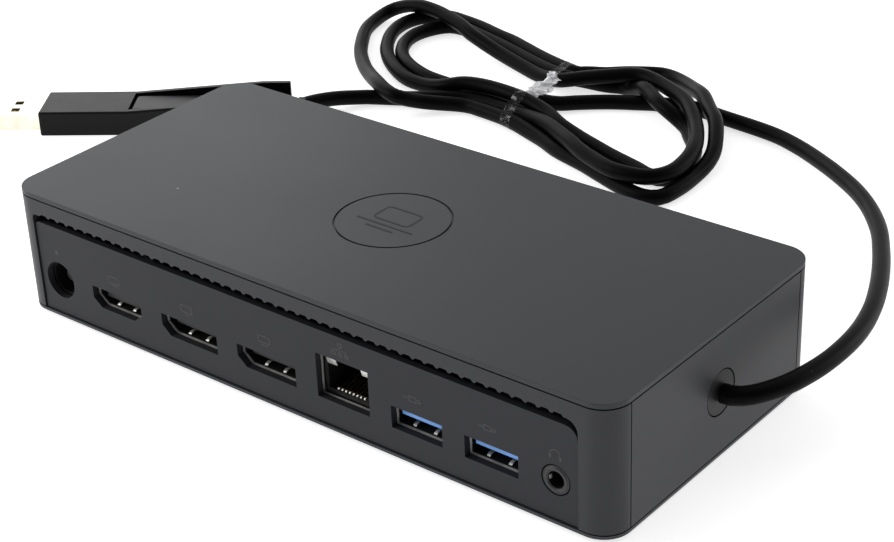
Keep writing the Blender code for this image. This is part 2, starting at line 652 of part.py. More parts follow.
def lan_socket(panel):
    """The network socket: a metal can, and the plastic insert with its bay and latch slot."""
    x, z = PLACES["lan"], LAN_Z
    width, height = LAN_HOLE
    front, back = -SOCKET_FRONT, -SOCKET_FRONT + LAN_DEPTH
    through = (-HALF_DEPTH - WALL, -PANEL_BACK + WALL)
    hole = moved(plain_outline(*LAN_HOLE), x, z, -1)
    cut(panel, prism("lan_hole", "Y", hole, *through, None, cutters))
    w, h = width / 2 + SHELL_WALL, height / 2 + SHELL_WALL
    low = max(z - h, BOARD_TOP + SOCKET_SEAT / 2)
    can = box("lan_socket_can", (x - w, front, low), (x + w, back, z + h), SHIELD)
    inner = w - SHELL_WALL
    cut(can, box("lan_can_cavity", (x - inner, front - WALL, low + SHELL_WALL),
                 (x + inner, back - SHELL_WALL, z + h - SHELL_WALL), None, cutters))
    floor, roof = low + SHELL_WALL + GAP, z + h - SHELL_WALL - GAP
    insert = box("lan_socket_insert", (x - inner + GAP, front + LAN_SETBACK, floor),
                 (x + inner - GAP, back - SHELL_WALL - GAP, roof), SOCKET_BLACK)
    wide, bottom, top, behind = LAN_BAY
    bay = box("lan_bay", (x - wide / 2, front - WALL, floor + bottom),
              (x + wide / 2, back - behind, floor + top), None, cutters)
    wide, bottom, above, behind = LAN_LATCH
    latch = box("lan_latch", (x - wide / 2, front - WALL, floor + bottom),
                (x + wide / 2, back - behind, roof - above), None, cutters)
    cut(insert, bay, latch)


def cord_tube(name, route, slot):
    """A tube along a smooth curve through the route's points, with a point every few diameters."""
    points = [Vector(p) + CORD_SHIFT for p in route]
    samples = []
    for i in range(len(points) - 1):
        before, a, b = points[max(i - 1, 0)], points[i], points[i + 1]
        after = points[min(i + 2, len(points) - 1)]
        for step in range(CURVE_SAMPLES):
            samples.append(smooth_point(before, a, b, after, step / CURVE_SAMPLES))
    samples.append(points[-1])
    total = sum((b - a).length for a, b in zip(samples, samples[1:]))
    count = max(2, round(total / (CORD_DIAMETER * TUBE_STEP)))
    stub = TUBE_STUB * CORD_DIAMETER
    stops = [stub] + [total * i / count for i in range(1, count)] + [total - stub]
    kept = [samples[0]]
    walked = 0.0
    for a, b in zip(samples, samples[1:]):
        walked += (b - a).length
        if stops and walked >= stops[0]:
            kept.append(b)
            stops.pop(0)
    kept.append(samples[-1])
    line = bpy.data.curves.new(name, "CURVE")
    line.dimensions = "3D"
    line.bevel_depth = CORD_DIAMETER / 2
    line.bevel_resolution = 2
    line.use_fill_caps = True
    spline = line.splines.new("POLY")
    spline.points.add(len(kept) - 1)
    for point, place in zip(spline.points, kept):
        point.co = (*place, 1.0)
    made = bpy.data.objects.new(name, line)
    parts.objects.link(made)
    line.materials.append(slot)


def smooth_point(before, a, b, after, t):
    """A point of the smooth curve from a to b, with the points on either side of them."""
    return 0.5 * (
        2 * a + (b - before) * t + (2 * before - 5 * a + 4 * b - after) * t**2
        + (3 * a - before - 3 * b + after) * t**3
    )


def smooth_outline(points, steps):
    """A closed outline, smooth through its points."""
    count = len(points)
    places = [Vector((*p, 0.0)) for p in points]
    made = []
    for i in range(count):
        near = [places[(i + k) % count] for k in (-1, 0, 1, 2)]
        made += [smooth_point(*near, step / steps).to_2d() for step in range(steps)]
    return made


def band_frame():
    """Middle, direction across the hank and half width of the tie at the hank's waist."""
    middle = (TIE_TOP + TIE_BOTTOM) / 2 + CORD_SHIFT
    across = TIE_TOP - TIE_BOTTOM
    return middle, math.atan2(across.y, across.x), across.length / 2


def band_box(name, half_run, low, high, half_width, slot=None, collection=cutters):
    middle, angle, _ = band_frame()
    made = box(name, (-half_run, -half_width, low), (half_run, half_width, high), slot, collection)
    made.rotation_euler = (0.0, 0.0, angle)
    made.location = (middle.x, middle.y, (low + high) / 2)
    return made


def hank_and_tie():
    """The tied hank's outer shape, and the clear tie round its waist."""
    outline = [(x + CORD_SHIFT.x, y) for x, y in smooth_outline(HANK_OUTLINE, 2)]
    hank = prism("cord_hank", "Z", outline, 0.0, HANK_HEIGHT, CORD_BLACK)
    _, _, reach = band_frame()
    groove = TIE_THICK + 2 * GAP
    cut(hank, band_box("tie_groove", 2 * reach, -WALL, groove, TIE_WIDTH / 2 + GAP))
    outside = reach + GAP + TIE_THICK
    top = HANK_HEIGHT + GAP + TIE_THICK
    tie = band_box("cord_tie", outside + WALL, GAP / 3, top, TIE_WIDTH / 2, TIE_CLEAR, parts)
    inner = reach + WALL + GAP
    cut(tie, band_box("tie_inside", inner, GAP / 3 + TIE_THICK, HANK_HEIGHT + GAP, TIE_WIDTH))


def along_plug(obj):
    """Places a piece made along +X from the adapter's end onto the line of the plug."""
    obj.parent = plug_line
    return obj


def adapter():
    """The adapter that the plug is pushed into: a closed head, an open cradle behind it, and its own plug."""
    w = ADAPTER_WIDTH / 2
    crest = ADAPTER_HEIGHT + ADAPTER_RISE
    outline = [(0.0, 0.0), (ADAPTER_LENGTH, 0.0), (ADAPTER_LENGTH, crest),
               (ADAPTER_LENGTH - ADAPTER_CREST, crest), (ADAPTER_SOLID, ADAPTER_HEIGHT),
               (0.0, ADAPTER_HEIGHT)]
    body = along_plug(prism("adapter_body", "Y", outline, -w, w, ADAPTER_BLACK))
    bevel(body, ADAPTER_ROUNDING, 3)
    side = w - CRADLE_WALL
    cradle = box("adapter_cradle", (ADAPTER_SOLID, -side, CRADLE_FLOOR),
                 (ADAPTER_LENGTH + WALL, side, 2 * crest), None, cutters)
    length, wide, thick = C_SHELL
    reach = ADAPTER_SOLID - length - C_SOCKET_SPARE
    hole = box("adapter_socket", (reach, -wide / 2 - GAP, PLUG_MIDDLE - thick / 2 - GAP),
               (ADAPTER_SOLID + WALL, wide / 2 + GAP, PLUG_MIDDLE + thick / 2 + GAP), None, cutters)
    cut(body, along_plug(cradle), along_plug(hole))

    length, wide, thick = A_SHELL
    low = (ADAPTER_HEIGHT - thick) / 2
    wall = A_SHELL_WALL
    shell = along_plug(box("adapter_a_shell", (-GAP - length, -wide / 2, low), (-GAP, wide / 2, low + thick),
                           PLUG_METAL))
    cavity = box("adapter_a_cavity", (-2 * length, -wide / 2 + wall, low + wall),
                 (-GAP - wall, wide / 2 - wall, low + thick - wall), None, cutters)
    cut(shell, along_plug(cavity))
    start, end = A_WINDOW
    half = A_WINDOW_WIDTH / 2
    for i, y in enumerate((-A_WINDOW_Y, A_WINDOW_Y)):
        window = box(f"a_window_{i}", (-start, y - half, ADAPTER_HEIGHT / 2),
                     (-end, y + half, ADAPTER_HEIGHT), None, cutters)
        cut(shell, along_plug(window))
    inner = wall + GAP
    along_plug(box("adapter_a_tongue", (-length + A_TONGUE_SETBACK, -wide / 2 + inner, low + inner),
                   (-GAP - inner, wide / 2 - inner, low + inner + A_TONGUE_THICK), SOCKET_BLACK))


def cord_plug():
    """The plug on the cord's end: its moulded body, and the metal shell that goes into the adapter."""
    half = ADAPTER_WIDTH / 2 - CRADLE_WALL - GAP
    low = CRADLE_FLOOR + GAP
    body = box("usb_c_plug_body", (ADAPTER_SOLID + GAP, -half, low),
               (ADAPTER_LENGTH - PLUG_TAIL, half, low + PLUG_HEIGHT), ADAPTER_BLACK)
    bevel(along_plug(body), PLUG_ROUNDING, 3)
    length, wide, thick = C_SHELL
    along_plug(box("usb_c_plug_shell", (ADAPTER_SOLID - length, -wide / 2, PLUG_MIDDLE - thick / 2),
                   (ADAPTER_SOLID, wide / 2, PLUG_MIDDLE + thick / 2), SHIELD, rounding=C_ROUNDING))


rear_panel = port_panel("port_panel", -1)
front_panel = port_panel("front_panel", 1)
wall_frame("port_side_frame", -1)
wall_frame("front_side_frame", 1)
top_cover()
base_cover()
security_slot()
cord_bush()
board()
board_parts()

power_jack(rear_panel)
lan_socket(rear_panel)
socket("hdmi", rear_panel, -1, hdmi_outline, HDMI_HOLE, HDMI_DEPTH, HDMI_TONGUE, SOCKET_BLACK)
for letter in "ab":
    socket("displayport_" + letter, rear_panel, -1, display_outline, DISPLAY_HOLE, DISPLAY_DEPTH,
           DISPLAY_TONGUE, SOCKET_BLACK)
    socket("usb_rear_" + letter, rear_panel, -1, plain_outline, USB_HOLE, USB_DEPTH, USB_TONGUE, BLUE)
    socket("usb_front_" + letter, front_panel, 1, plain_outline, USB_HOLE, USB_DEPTH, USB_TONGUE, BLUE)
socket("usb_c_front", front_panel, 1, round_outline, USB_C_HOLE, USB_C_DEPTH, USB_C_TONGUE, SOCKET_BLACK)
round_jack("line_out", rear_panel, -1)
round_jack("headset", front_panel, 1)

light_place = (PLACES["power_led"], PORT_Z)
cut(front_panel, rod("light_hole", "Y", light_place, HALF_DEPTH - 3 * WALL, HALF_DEPTH + WALL,
                     LIGHT_RADIUS + GAP, None, cutters, 20))
rod("power_light_pipe", "Y", light_place, SOCKET_FRONT - LIGHT_LENGTH, PANEL_FRONT - GAP / 3,
    LIGHT_RADIUS, LENS, parts, 20)

for number, place in enumerate(corner_places(FOOT_X, FOOT_Y), 1):
    foot = rod(f"foot_{number}", "Z", place, 0.0, BASE_Z + FOOT_POCKET - GAP, FOOT_RADIUS, RUBBER)
    bevel(foot, FOOT_ROUNDING)
for number, place in enumerate(corner_places(SCREW_X, SCREW_Y), 1):
    screw = rod(f"case_screw_{number}", "Z", place, BASE_Z + GAP, BASE_Z + SCREW_HEAD,
                SCREW_HEAD_RADIUS, STEEL, parts, 20)
    join(screw, rod(f"screw_shank_{number}", "Z", place, BASE_Z + SCREW_HEAD / 2,
                    BASE_Z + SCREW_LENGTH, SCREW_RADIUS, None, cutters, 16))

plug_line = bpy.data.objects.new("plug_line", None)
plug_line.location = PLUG_START + CORD_SHIFT
plug_line.rotation_euler = (0.0, 0.0, PLUG_ANGLE)
parts.objects.link(plug_line)
adapter()
cord_plug()
hank_and_tie()
cord_tube("cord_free_run", FREE_ROUTE, CORD_BLACK)
cord_tube("cord_end_run", END_ROUTE, CORD_BLACK)
cord_tube("cord_inner_lead", (Vector(LEAD_START) - CORD_SHIFT, *INNER_ROUTE), CORD_BLACK)
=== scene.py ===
"""The looks of a laptop docking station: case, sockets, tied cord and plug adapter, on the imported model."""

import math

import bmesh
import bpy
import numpy as np
from bpy.props import FloatProperty, FloatVectorProperty, IntProperty, PointerProperty
from mathutils import Matrix, Vector

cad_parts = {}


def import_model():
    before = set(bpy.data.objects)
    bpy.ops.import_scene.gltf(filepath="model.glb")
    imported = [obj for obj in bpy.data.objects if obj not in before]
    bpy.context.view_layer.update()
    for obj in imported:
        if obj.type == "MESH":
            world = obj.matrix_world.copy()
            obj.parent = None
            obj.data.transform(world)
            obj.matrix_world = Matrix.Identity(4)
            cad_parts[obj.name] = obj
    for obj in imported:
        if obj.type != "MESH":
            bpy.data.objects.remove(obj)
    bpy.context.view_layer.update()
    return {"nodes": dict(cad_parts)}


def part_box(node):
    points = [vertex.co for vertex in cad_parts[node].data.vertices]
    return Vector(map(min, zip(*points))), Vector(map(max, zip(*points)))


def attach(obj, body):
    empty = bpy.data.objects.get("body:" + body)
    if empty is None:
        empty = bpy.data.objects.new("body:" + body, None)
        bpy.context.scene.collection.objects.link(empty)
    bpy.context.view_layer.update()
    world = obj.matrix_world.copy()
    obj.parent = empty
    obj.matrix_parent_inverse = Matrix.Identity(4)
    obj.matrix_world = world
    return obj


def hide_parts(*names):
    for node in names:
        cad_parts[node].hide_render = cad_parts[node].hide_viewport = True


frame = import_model()

bl_info = {
    "name": "Docking station finish",
    "version": (1, 0, 0),
    "blender": (4, 5, 0),
    "location": "3D View > Sidebar > Docking station",
    "description": "Dresses a docking station's case, sockets, cord and adapter",
    "category": "Object",
}

MM = 0.001
DOCK, ADAPTER = "dock", "adapter"

# The cord's route, in metres: out of the bush, round behind the case and down to the table
FREE_ROUTE = (
    (0.0833, 0.0008, 0.0161), (0.0859, 0.0012, 0.0161), (0.0884, 0.0036, 0.0160),
    (0.0908, 0.0080, 0.0160), (0.0925, 0.0135, 0.0159), (0.0936, 0.0223, 0.0156),
    (0.0934, 0.0322, 0.0151), (0.0919, 0.0418, 0.0143), (0.0890, 0.0521, 0.0133),
    (0.0852, 0.0620, 0.0122), (0.0804, 0.0726, 0.0110), (0.0749, 0.0833, 0.0097),
    (0.0686, 0.0942, 0.0084), (0.0607, 0.1049, 0.0071), (0.0524, 0.1138, 0.0059),
    (0.0436, 0.1213, 0.0048), (0.0345, 0.1281, 0.0037), (0.0244, 0.1344, 0.0028),
    (0.0139, 0.1387, 0.0023),
)
# From the hank to the plug
END_ROUTE = (
    (-0.0925, 0.0979, 0.0023), (-0.0950, 0.0950, 0.0026), (-0.0972, 0.0912, 0.0032),
    (-0.0988, 0.0872, 0.0038), (-0.1000, 0.0830, 0.0043), (-0.1009, 0.0795, 0.0045),
    (-0.1022, 0.0764, 0.0044), (-0.1040, 0.0744, 0.0042), (-0.1057, 0.0731, 0.0041),
)
# The hank, in millimetres: in along the table, three turns laid on each other, and out. A station where the
# cord lies on the table has no height of its own
LYING = 2.1
ENTRY_RUN = (
    (-2, 141), (-12, 142), (-21, 139.5), (-25.5, 138), (-34, 133), (-41.5, 127), (-45, 123.5),
    (-49.5, 121.5),
)
FIRST_TURN = (
    (-54, 118), (-60.5, 118), (-73, 116), (-81, 117), (-89.5, 118.5), (-98, 122), (-105, 127),
    (-110, 134), (-112, 141.5), (-110.5, 148.5), (-107, 153), (-101, 153.5), (-94.5, 152), (-87, 150),
    (-80.5, 148), (-74, 146), (-67.5, 143.5), (-59.5, 140.5), (-54, 139.5), (-49, 140.5),
    (-41.5, 141.5), (-35, 143, 2.6), (-24.5, 136.5, 4.6), (-16, 130.5, 6.2), (-7.5, 129, 3),
    (-3.5, 125.5), (1.5, 120), (5, 113.5), (7, 108), (7, 102.5), (4.5, 99.5), (0, 99.5), (-4.5, 101),
    (-13.5, 103.5), (-20.5, 105.5, 2.4), (-27.5, 107.5, 2.8), (-35, 109.5, 3.8),
)
SECOND_TURN = (
    (-42, 113, 4.4), (-51, 115, 5.2), (-59, 116, 5), (-66, 116, 4.6), (-72, 115, 4),
    (-77.5, 112.5, 3.2), (-84.5, 112.5, 2.4), (-92.5, 114), (-101, 118.5), (-109.5, 125.5),
    (-115.5, 133), (-119.5, 140.5), (-121, 147.5), (-120, 153), (-117, 156.5), (-112.5, 159),
    (-106, 158.5), (-98.5, 157), (-90.5, 154.5), (-84, 153), (-77.5, 150.5), (-70.5, 147.5), (-63, 145),
    (-54, 143), (-50.5, 145.5), (-46.5, 148), (-41.5, 152.5), (-34.5, 156.5), (-30.5, 157),
    (-24.5, 154.5, 2.6), (-17.5, 149, 4), (-9.5, 141.5, 5.6), (-3, 134.5, 6.4), (2.5, 128.5, 6.4),
    (8, 119, 4.4), (9.5, 112.5, 3), (9.5, 105.5), (10.5, 99), (10.5, 93), (9.5, 90), (6.5, 88.5),
    (1.5, 89), (-9.5, 92.5), (-17.5, 95.5), (-27.5, 99), (-34.5, 102.5), (-40.5, 104.5), (-49, 106.5),
)
THIRD_TURN = (
    (-60, 108), (-67, 108), (-75.5, 101.5, 3.4), (-79.5, 95, 6.2), (-83.5, 95.5, 6.4), (-88.5, 98, 6),
    (-96.5, 104, 4.6), (-107, 112.5, 2.8), (-116, 121), (-122, 128.5), (-127, 136), (-129.5, 142.5),
    (-130.5, 149, 2.4), (-128.5, 152.5, 3.4), (-123.5, 153, 4.8), (-117, 152.5, 6),
    (-110.5, 151.5, 6.4), (-104.5, 149.5, 6.4), (-98, 147, 6.2), (-92, 144.5, 5.4), (-80, 142, 3.2),
    (-67.5, 139, 2.2), (-61, 137, 2.2), (-53, 135, 3.4), (-45.5, 138, 4.6), (-34.5, 142.5, 5.4),
    (-28, 143, 6), (-20.5, 140.5, 6.6), (-12.5, 136, 7), (-6, 130, 6.8), (-0.5, 123.5, 6.2),
    (4, 116.5, 6), (6.5, 111, 6), (8, 105.5, 5.8), (8.5, 99.5, 5.6), (7.5, 94.5, 5.6), (5, 91.5, 5.4),
    (1, 90, 5.2), (-4.5, 90, 5), (-11.5, 92.5, 4.8), (-19, 95.5, 4.6), (-28.5, 100.5, 4.2),
)
LAST_RUN = (
    (-36, 104.5, 4), (-47, 109.5, 3), (-55.5, 112, 2.4), (-63.5, 113), (-70, 112.5), (-75, 109.5),
    (-82.5, 103.5),
)

TIE_TOP = Vector((-0.056, 0.142))
TIE_BOTTOM = Vector((-0.049, 0.101))
WAIST_LIFT = 0.5  # mm that the tie's film lifts the cord off the table
PLUG_START = Vector((-0.1592, 0.0356, 0.0))
PLUG_ANGLE = math.radians(35)
VIEW_MIDDLE = Vector((0.00539, 0.01092, 0.0150))
SPACING = 2.0  # mm between the settled cord's points
SETTLE_ROUNDS = 160
BAND_POINTS, TWIST_POINTS = 72, 14  # round the tie's bands and its twist

# Faces that the small pieces sit on, in metres
PANEL_FACE = 0.0368
COLLAR_FACE = 0.0367
SHELL_WALL = 0.0004
SHELL_EDGE = 0.0347
PRINT_THICK = 0.00004
EMBLEM_MIDDLE = (0.0005, -0.0007)
PORT_SIDE, FRONT_SIDE = 1, -1

# The sockets, and the rows of springs and contacts in them: spacing, or count and spacing
VIDEO_SOCKETS = ("hdmi", "displayport_a", "displayport_b")
FAST_SOCKETS = ("usb_rear_a", "usb_rear_b", "usb_front_a", "usb_front_b")
SOUND_SOCKETS = ("line_out_jack", "headset_jack")
LEAF_PITCHES = {"hdmi": 0.0050, "displayport_a": 0.0053, "displayport_b": 0.0053} | dict.fromkeys(
    FAST_SOCKETS, 0.0054
)
TONGUE_ROWS = {
    **dict.fromkeys(VIDEO_SOCKETS, (10, 0.0010)), **dict.fromkeys(FAST_SOCKETS, (4, 0.0024)),
    "usb_c_front": (12, 0.0005),
}
CHIPS = ("display_chip", "hub_chip", "network_chip")
WIRE_PITCH = 0.00102  # network contacts
LEG_PITCH = 0.0008  # chips' legs
SKY_WAY = (-0.85, 0.52, 0.0)  # from the object towards the brightest part of the room


def colour(name, text, value):
    return FloatVectorProperty(
        name=name, description=text, default=value, size=3, min=0.0, max=1.0, subtype="COLOR"
    )


def size(name, text, value):
    return FloatProperty(name=name, description=text, default=value, min=0.0, unit="LENGTH", precision=5)


def amount(name, text, value, top=1.0):
    return FloatProperty(name=name, description=text, default=value, min=0.0, max=top)


class CaseSettings(bpy.types.PropertyGroup):
    # cover_colour colours only the top cover; the bottom cover takes side_colour, painted 1.6 times lighter to
    # hide the shadow along its edge
    cover_colour: colour("Cover colour", "Plastic of the top and bottom covers", (0.026, 0.029, 0.034))
    side_colour: colour("Side colour", "Moulded plastic of the frames and end walls", (0.024, 0.025, 0.030))
    panel_colour: colour("Panel colour", "Plastic of the two port panels", (0.020, 0.021, 0.026))
    grain: size("Grain", "Width of the moulded grain", 0.00022)
    grain_depth: size("Grain depth", "Height of the moulded grain", 0.000012)
    gloss: amount("Roughness", "Roughness of the plastic", 0.44)


class SocketSettings(bpy.types.PropertyGroup):
    insert_colour: colour("Insert colour", "Plastic inside the sockets", (0.006, 0.006, 0.007))
    tongue_colour: colour("Tongue colour", "Plastic of the fast sockets' tongues", (0.16, 0.36, 0.80))
    shield_colour: colour("Shield colour", "Plated steel of the shells", (0.82, 0.81, 0.78))
    contact_colour: colour("Contact colour", "Gold flash on the contacts", (0.85, 0.62, 0.28))
    spring_thick: size("Spring thickness", "Thickness of a shell's leaf spring", 0.00018)
    wire_width: size("Wire width", "Width of a network contact", 0.00045)
    wire_count: IntProperty(
        name="Wires", description="Contacts in the network socket", default=8, min=1, max=10
    )


class CordSettings(bpy.types.PropertyGroup):
    diameter: size("Diameter", "Diameter of the cord", 0.0042)
    jacket_colour: colour("Jacket colour", "Soft plastic of the cord's jacket", (0.0018, 0.0018, 0.0024))
    rubber_colour: colour("Rubber colour", "Bush and feet", (0.008, 0.008, 0.009))
    tie_width: size("Tie width", "Width of the clear tie", 0.0034)
    film_thick: size("Film thickness", "Thickness of the tie's film", 0.00016)


class AdapterSettings(bpy.types.PropertyGroup):
    case_colour: colour("Case colour", "Satin plastic of the adapter", (0.003, 0.003, 0.004))
    plug_colour: colour("Plug colour", "Plastic of the cord's plug", (0.016, 0.016, 0.020))
    shell_colour: colour("Shell colour", "Pale plating of the wide plug", (0.93, 0.89, 0.74))


class MarkSettings(bpy.types.PropertyGroup):
    print_colour: colour("Print colour", "Ink of the marks over the ports", (0.046, 0.046, 0.050))
    line: size("Line", "Width of a mark's lines", 0.00030)
    emblem_colour: colour("Emblem colour", "Inlay of the sign in the top's ring", (0.004, 0.004, 0.005))


class StageSettings(bpy.types.PropertyGroup):
    floor_colour: colour("Floor colour", "Paper under the object", (0.90, 0.90, 0.895))
    glow: amount("Floor glow", "Light that the pale table gives off by itself", 0.70, 10.0)
    bright_sky: amount("Bright sky", "Strength of the room's light beyond the object", 0.86, 10.0)
    dark_sky: amount("Dark sky", "Strength of the room's light behind the camera", 0.12, 10.0)
    back: amount("Back", "Power of the light at the back left, in watts", 0.9, 1000.0)
    left: amount("Left", "Power of the light at the front left, in watts", 1.7, 1000.0)
    right: amount("Right", "Power of the light at the right, in watts", 1.6, 1000.0)
    distance: size("Camera distance", "From the camera to the middle of the view", 0.44781)
    azimuth: FloatProperty(
        name="Azimuth", description="Camera's turn from the port side", default=math.radians(39.78),
        subtype="ANGLE",
    )
    elevation: FloatProperty(
        name="Elevation", description="Camera's rise above the table", default=math.radians(28.34),
        subtype="ANGLE",
    )
    roll: FloatProperty(
        name="Roll", description="Camera's turn about its own line of sight", default=math.radians(-2.42),
        subtype="ANGLE",
    )
    lens: FloatProperty(
        name="Lens", description="Focal length on a 36 mm wide sensor, in millimetres", default=80.767,
        min=1.0,
    )


class Signal:
    """One output of a node. Arithmetic on it adds Math nodes."""

    def __init__(self, tree, socket):
        self.tree, self.socket = tree, socket

    def math(self, operation, *values):
        return self.tree.node("ShaderNodeMath", {"operation": operation}, dict(enumerate(values)))


for sign, operation in (
    ("add", "ADD"), ("sub", "SUBTRACT"), ("mul", "MULTIPLY"), ("truediv", "DIVIDE"),
    ("gt", "GREATER_THAN"), ("lt", "LESS_THAN"),
):
    setattr(Signal, f"__{sign}__", lambda self, other, kind=operation: self.math(kind, self, other))
    setattr(Signal, f"__r{sign}__", lambda self, other, kind=operation: self.math(kind, other, self))


class Tree:
    """A node tree, built one node at a time."""

    def __init__(self, nodes):
        self.nodes = nodes

    def node(self, kind, settings=None, sockets=None, output=0):
        """Adds a node: its settings first, then its sockets' values or links. Gives one output, if any."""
        made = self.nodes.nodes.new(kind)
        for name, value in (settings or {}).items():
            setattr(made, name, value)
        for name, value in (sockets or {}).items():
            if isinstance(value, Signal):
                self.nodes.links.new(value.socket, made.inputs[name])
            else:
                made.inputs[name].default_value = value
        return None if output is None else Signal(self, made.outputs[output])


class Finish(Tree):
    """A procedural material on Object coordinates."""

    def __init__(self, name):
        self.material = bpy.data.materials.new(name)
        self.material.use_nodes = True
        super().__init__(self.material.node_tree)
        self.nodes.nodes.clear()
        self.place = self.node("ShaderNodeTexCoord", output="Object")

    def noise(self, width, detail=2.0, rough=0.5, stretch=(1.0, 1.0, 1.0)):
        """Soft noise from 0 to 1, its lumps about width across and longer along a small stretch."""
        place = self.place
        if stretch != (1.0, 1.0, 1.0):
            place = self.node("ShaderNodeMapping", None, {"Vector": place, "Scale": stretch})
        return self.node(
            "ShaderNodeTexNoise", None,
            {"Vector": place, "Scale": 1.0 / width, "Detail": detail, "Roughness": rough},
        )

    def cells(self, width):
        """Distance to the middle of random cells about width across, as a share of width."""
        return self.node("ShaderNodeTexVoronoi", None, {"Vector": self.place, "Scale": 1.0 / width}, "Distance")

    def span(self, value, low, high, start=0.0, end=1.0):
        """value's range from low to high, spread from start to end."""
        return self.node(
            "ShaderNodeMapRange", None,
            {"Value": value, "From Min": low, "From Max": high, "To Min": start, "To Max": end},
        )

    def blend(self, share, first, second):
        """One colour turning into another as share goes from 0 to 1."""
        first, second = (v if isinstance(v, Signal) else (*v, 1.0) for v in (first, second))
        return self.node("ShaderNodeMix", {"data_type": "RGBA"}, {0: share, 6: first, 7: second}, 2)

    def facing(self, axis):
        """The surface's own direction along an axis, from -1 to 1."""
        normal = self.node("ShaderNodeNewGeometry", output="Normal")
        return self.node("ShaderNodeSeparateXYZ", None, {0: normal}, axis)

    def bump(self, height, depth, strength=1.0):
        return self.node(
            "ShaderNodeBump", None, {"Height": height, "Distance": depth, "Strength": strength}
        )

    def done(self, **sockets):
        """Joins the sockets to a Principled surface and gives the material."""
        titled = {name.replace("_", " ").title().replace("Ior", "IOR"): sockets[name] for name in sockets}
        surface = self.node("ShaderNodeBsdfPrincipled", None, titled)
        self.node("ShaderNodeOutputMaterial", None, {"Surface": surface}, None)
        return self.material


def tinted(base, factor):
    return tuple(min(1.0, part * factor) for part in base)


def moulded_plastic(name, base, case, dust=0.0, gloss=None, level=0.32):
    """Charcoal plastic with a fine moulded grain, slow shade changes and, on top, a few specks of dust."""
    finish = Finish(name)
    grain = finish.noise(case.grain, 3.0, 0.6)
    fine = finish.noise(case.grain * 2.6, 2.0)
    slow = finish.noise(0.045, 3.0, 0.55)
    tone = slow * 0.55 + grain * 0.30 + fine * 0.15
    shade = finish.blend(finish.span(tone, 0.30, 0.70), tinted(base, 0.93), tinted(base, 1.07))
    if dust:
        spot = finish.cells(0.016) < finish.span(finish.noise(0.011, 0.0), 0.42, 0.70, 0.0, 0.017)
        lying = spot * (finish.facing(2) > 0.9)
        shade = finish.blend(lying * dust, shade, (0.42, 0.41, 0.39))
    rough = (case.gloss if gloss is None else gloss) + 0.10 * (slow - 0.5) + 0.08 * (grain - 0.5)
    normal = finish.bump(grain * 0.7 + fine * 0.3, case.grain_depth, 0.8)
    return finish.done(base_color=shade, roughness=rough, normal=normal, specular_ior_level=level)


def shiny_plastic(name, base, rough, grain=0.00035, depth=0.000006, level=0.5):
    """Smooth plastic with faint flow marks."""
    finish = Finish(name)
    flow = finish.noise(0.006, 2.0, 0.5, (1.0, 1.0, 2.5))
    fine = finish.noise(grain, 2.0)
    shade = finish.blend(finish.span(flow, 0.3, 0.7), tinted(base, 0.85), tinted(base, 1.2))
    return finish.done(
        base_color=shade, roughness=rough + 0.10 * (flow - 0.5) + 0.06 * (fine - 0.5),
        normal=finish.bump(fine, depth, 0.7), specular_ior_level=level,
    )


def plated_metal(name, base, rough, stretch=(1.0, 1.0, 6.0), scuff=0.25, metal=1.0):
    """Plated sheet metal: drawn lines, dull patches and small scuffs."""
    finish = Finish(name)
    drawn = finish.noise(0.0009, 2.0, 0.6, stretch)
    dull = finish.noise(0.004, 3.0)
    marks = finish.cells(0.0022) < 0.05
    shade = finish.blend(finish.span(dull, 0.35, 0.7), base, tinted(base, 0.78))
    shade = finish.blend(marks * scuff, shade, tinted(base, 0.4))
    return finish.done(
        base_color=shade, metallic=metal, roughness=rough + 0.14 * (drawn - 0.5) + 0.18 * (dull - 0.5),
        normal=finish.bump(drawn, 0.000004, 0.6),
    )


def soft_rubber(name, base, rough=0.75, level=0.35):
    """Matt rubber with a fine dusty bloom."""
    finish = Finish(name)
    bloom = finish.noise(0.003, 3.0)
    fine = finish.noise(0.0002, 2.0)
    shade = finish.blend(finish.span(bloom, 0.35, 0.75), base, tinted(base, 1.7))
    return finish.done(
        base_color=shade, roughness=rough + 0.12 * (fine - 0.5),
        normal=finish.bump(fine, 0.00001, 0.8), specular_ior_level=level,
    )


def cord_jacket(base):
    """Satin jacket: extruded, so its marks are slow and shallow, with a trace of handling dust."""
    finish = Finish("cord_jacket")
    slow = finish.noise(0.009, 2.0)
    fine = finish.noise(0.0005, 3.0)
    dust = finish.cells(0.007) < 0.016
    shade = finish.blend(finish.span(slow, 0.3, 0.7), base, tinted(base, 1.35))
    shade = finish.blend(dust * 0.35, shade, (0.20, 0.20, 0.20))
    return finish.done(
        base_color=shade, roughness=0.42 + 0.12 * (slow - 0.5) + 0.08 * (fine - 0.5),
        normal=finish.bump(fine * 0.4 + slow * 0.6, 0.00003, 0.5), specular_ior_level=0.05,
    )


def clear_film(name, haze_and_sheen):
    """Crumpled clear film, cloudy where it creases, and paler all over as its second argument rises to 1. The
    pale creases are partly real whitening of creased film and partly painted glints. At 1 the paleness is
    partly real cloudiness and partly a painted sheen for the strong reflection of the tie's twist.
    """
    finish = Finish(name)
    crease = finish.noise(0.0016, 3.0, 0.65)
    ridge = finish.cells(0.0021)
    # Pale crease marks: partly real whitening of the creased film, partly painted glints
    crease_white_and_glint = finish.span(crease + ridge * 0.4, 0.75 - 0.25 * haze_and_sheen, 1.0 - 0.2 * haze_and_sheen)
    shade = finish.blend(crease_white_and_glint, tinted((0.90, 0.91, 0.94), haze_and_sheen), (0.95, 0.95, 0.97))
    return finish.done(
        base_color=shade, roughness=0.10 + 0.12 * crease,
        alpha=0.10 + 0.45 * haze_and_sheen + (0.14 + 0.4 * haze_and_sheen) * crease_white_and_glint,
        normal=finish.bump(crease + ridge * 0.5, 0.00012, 0.9),
    )


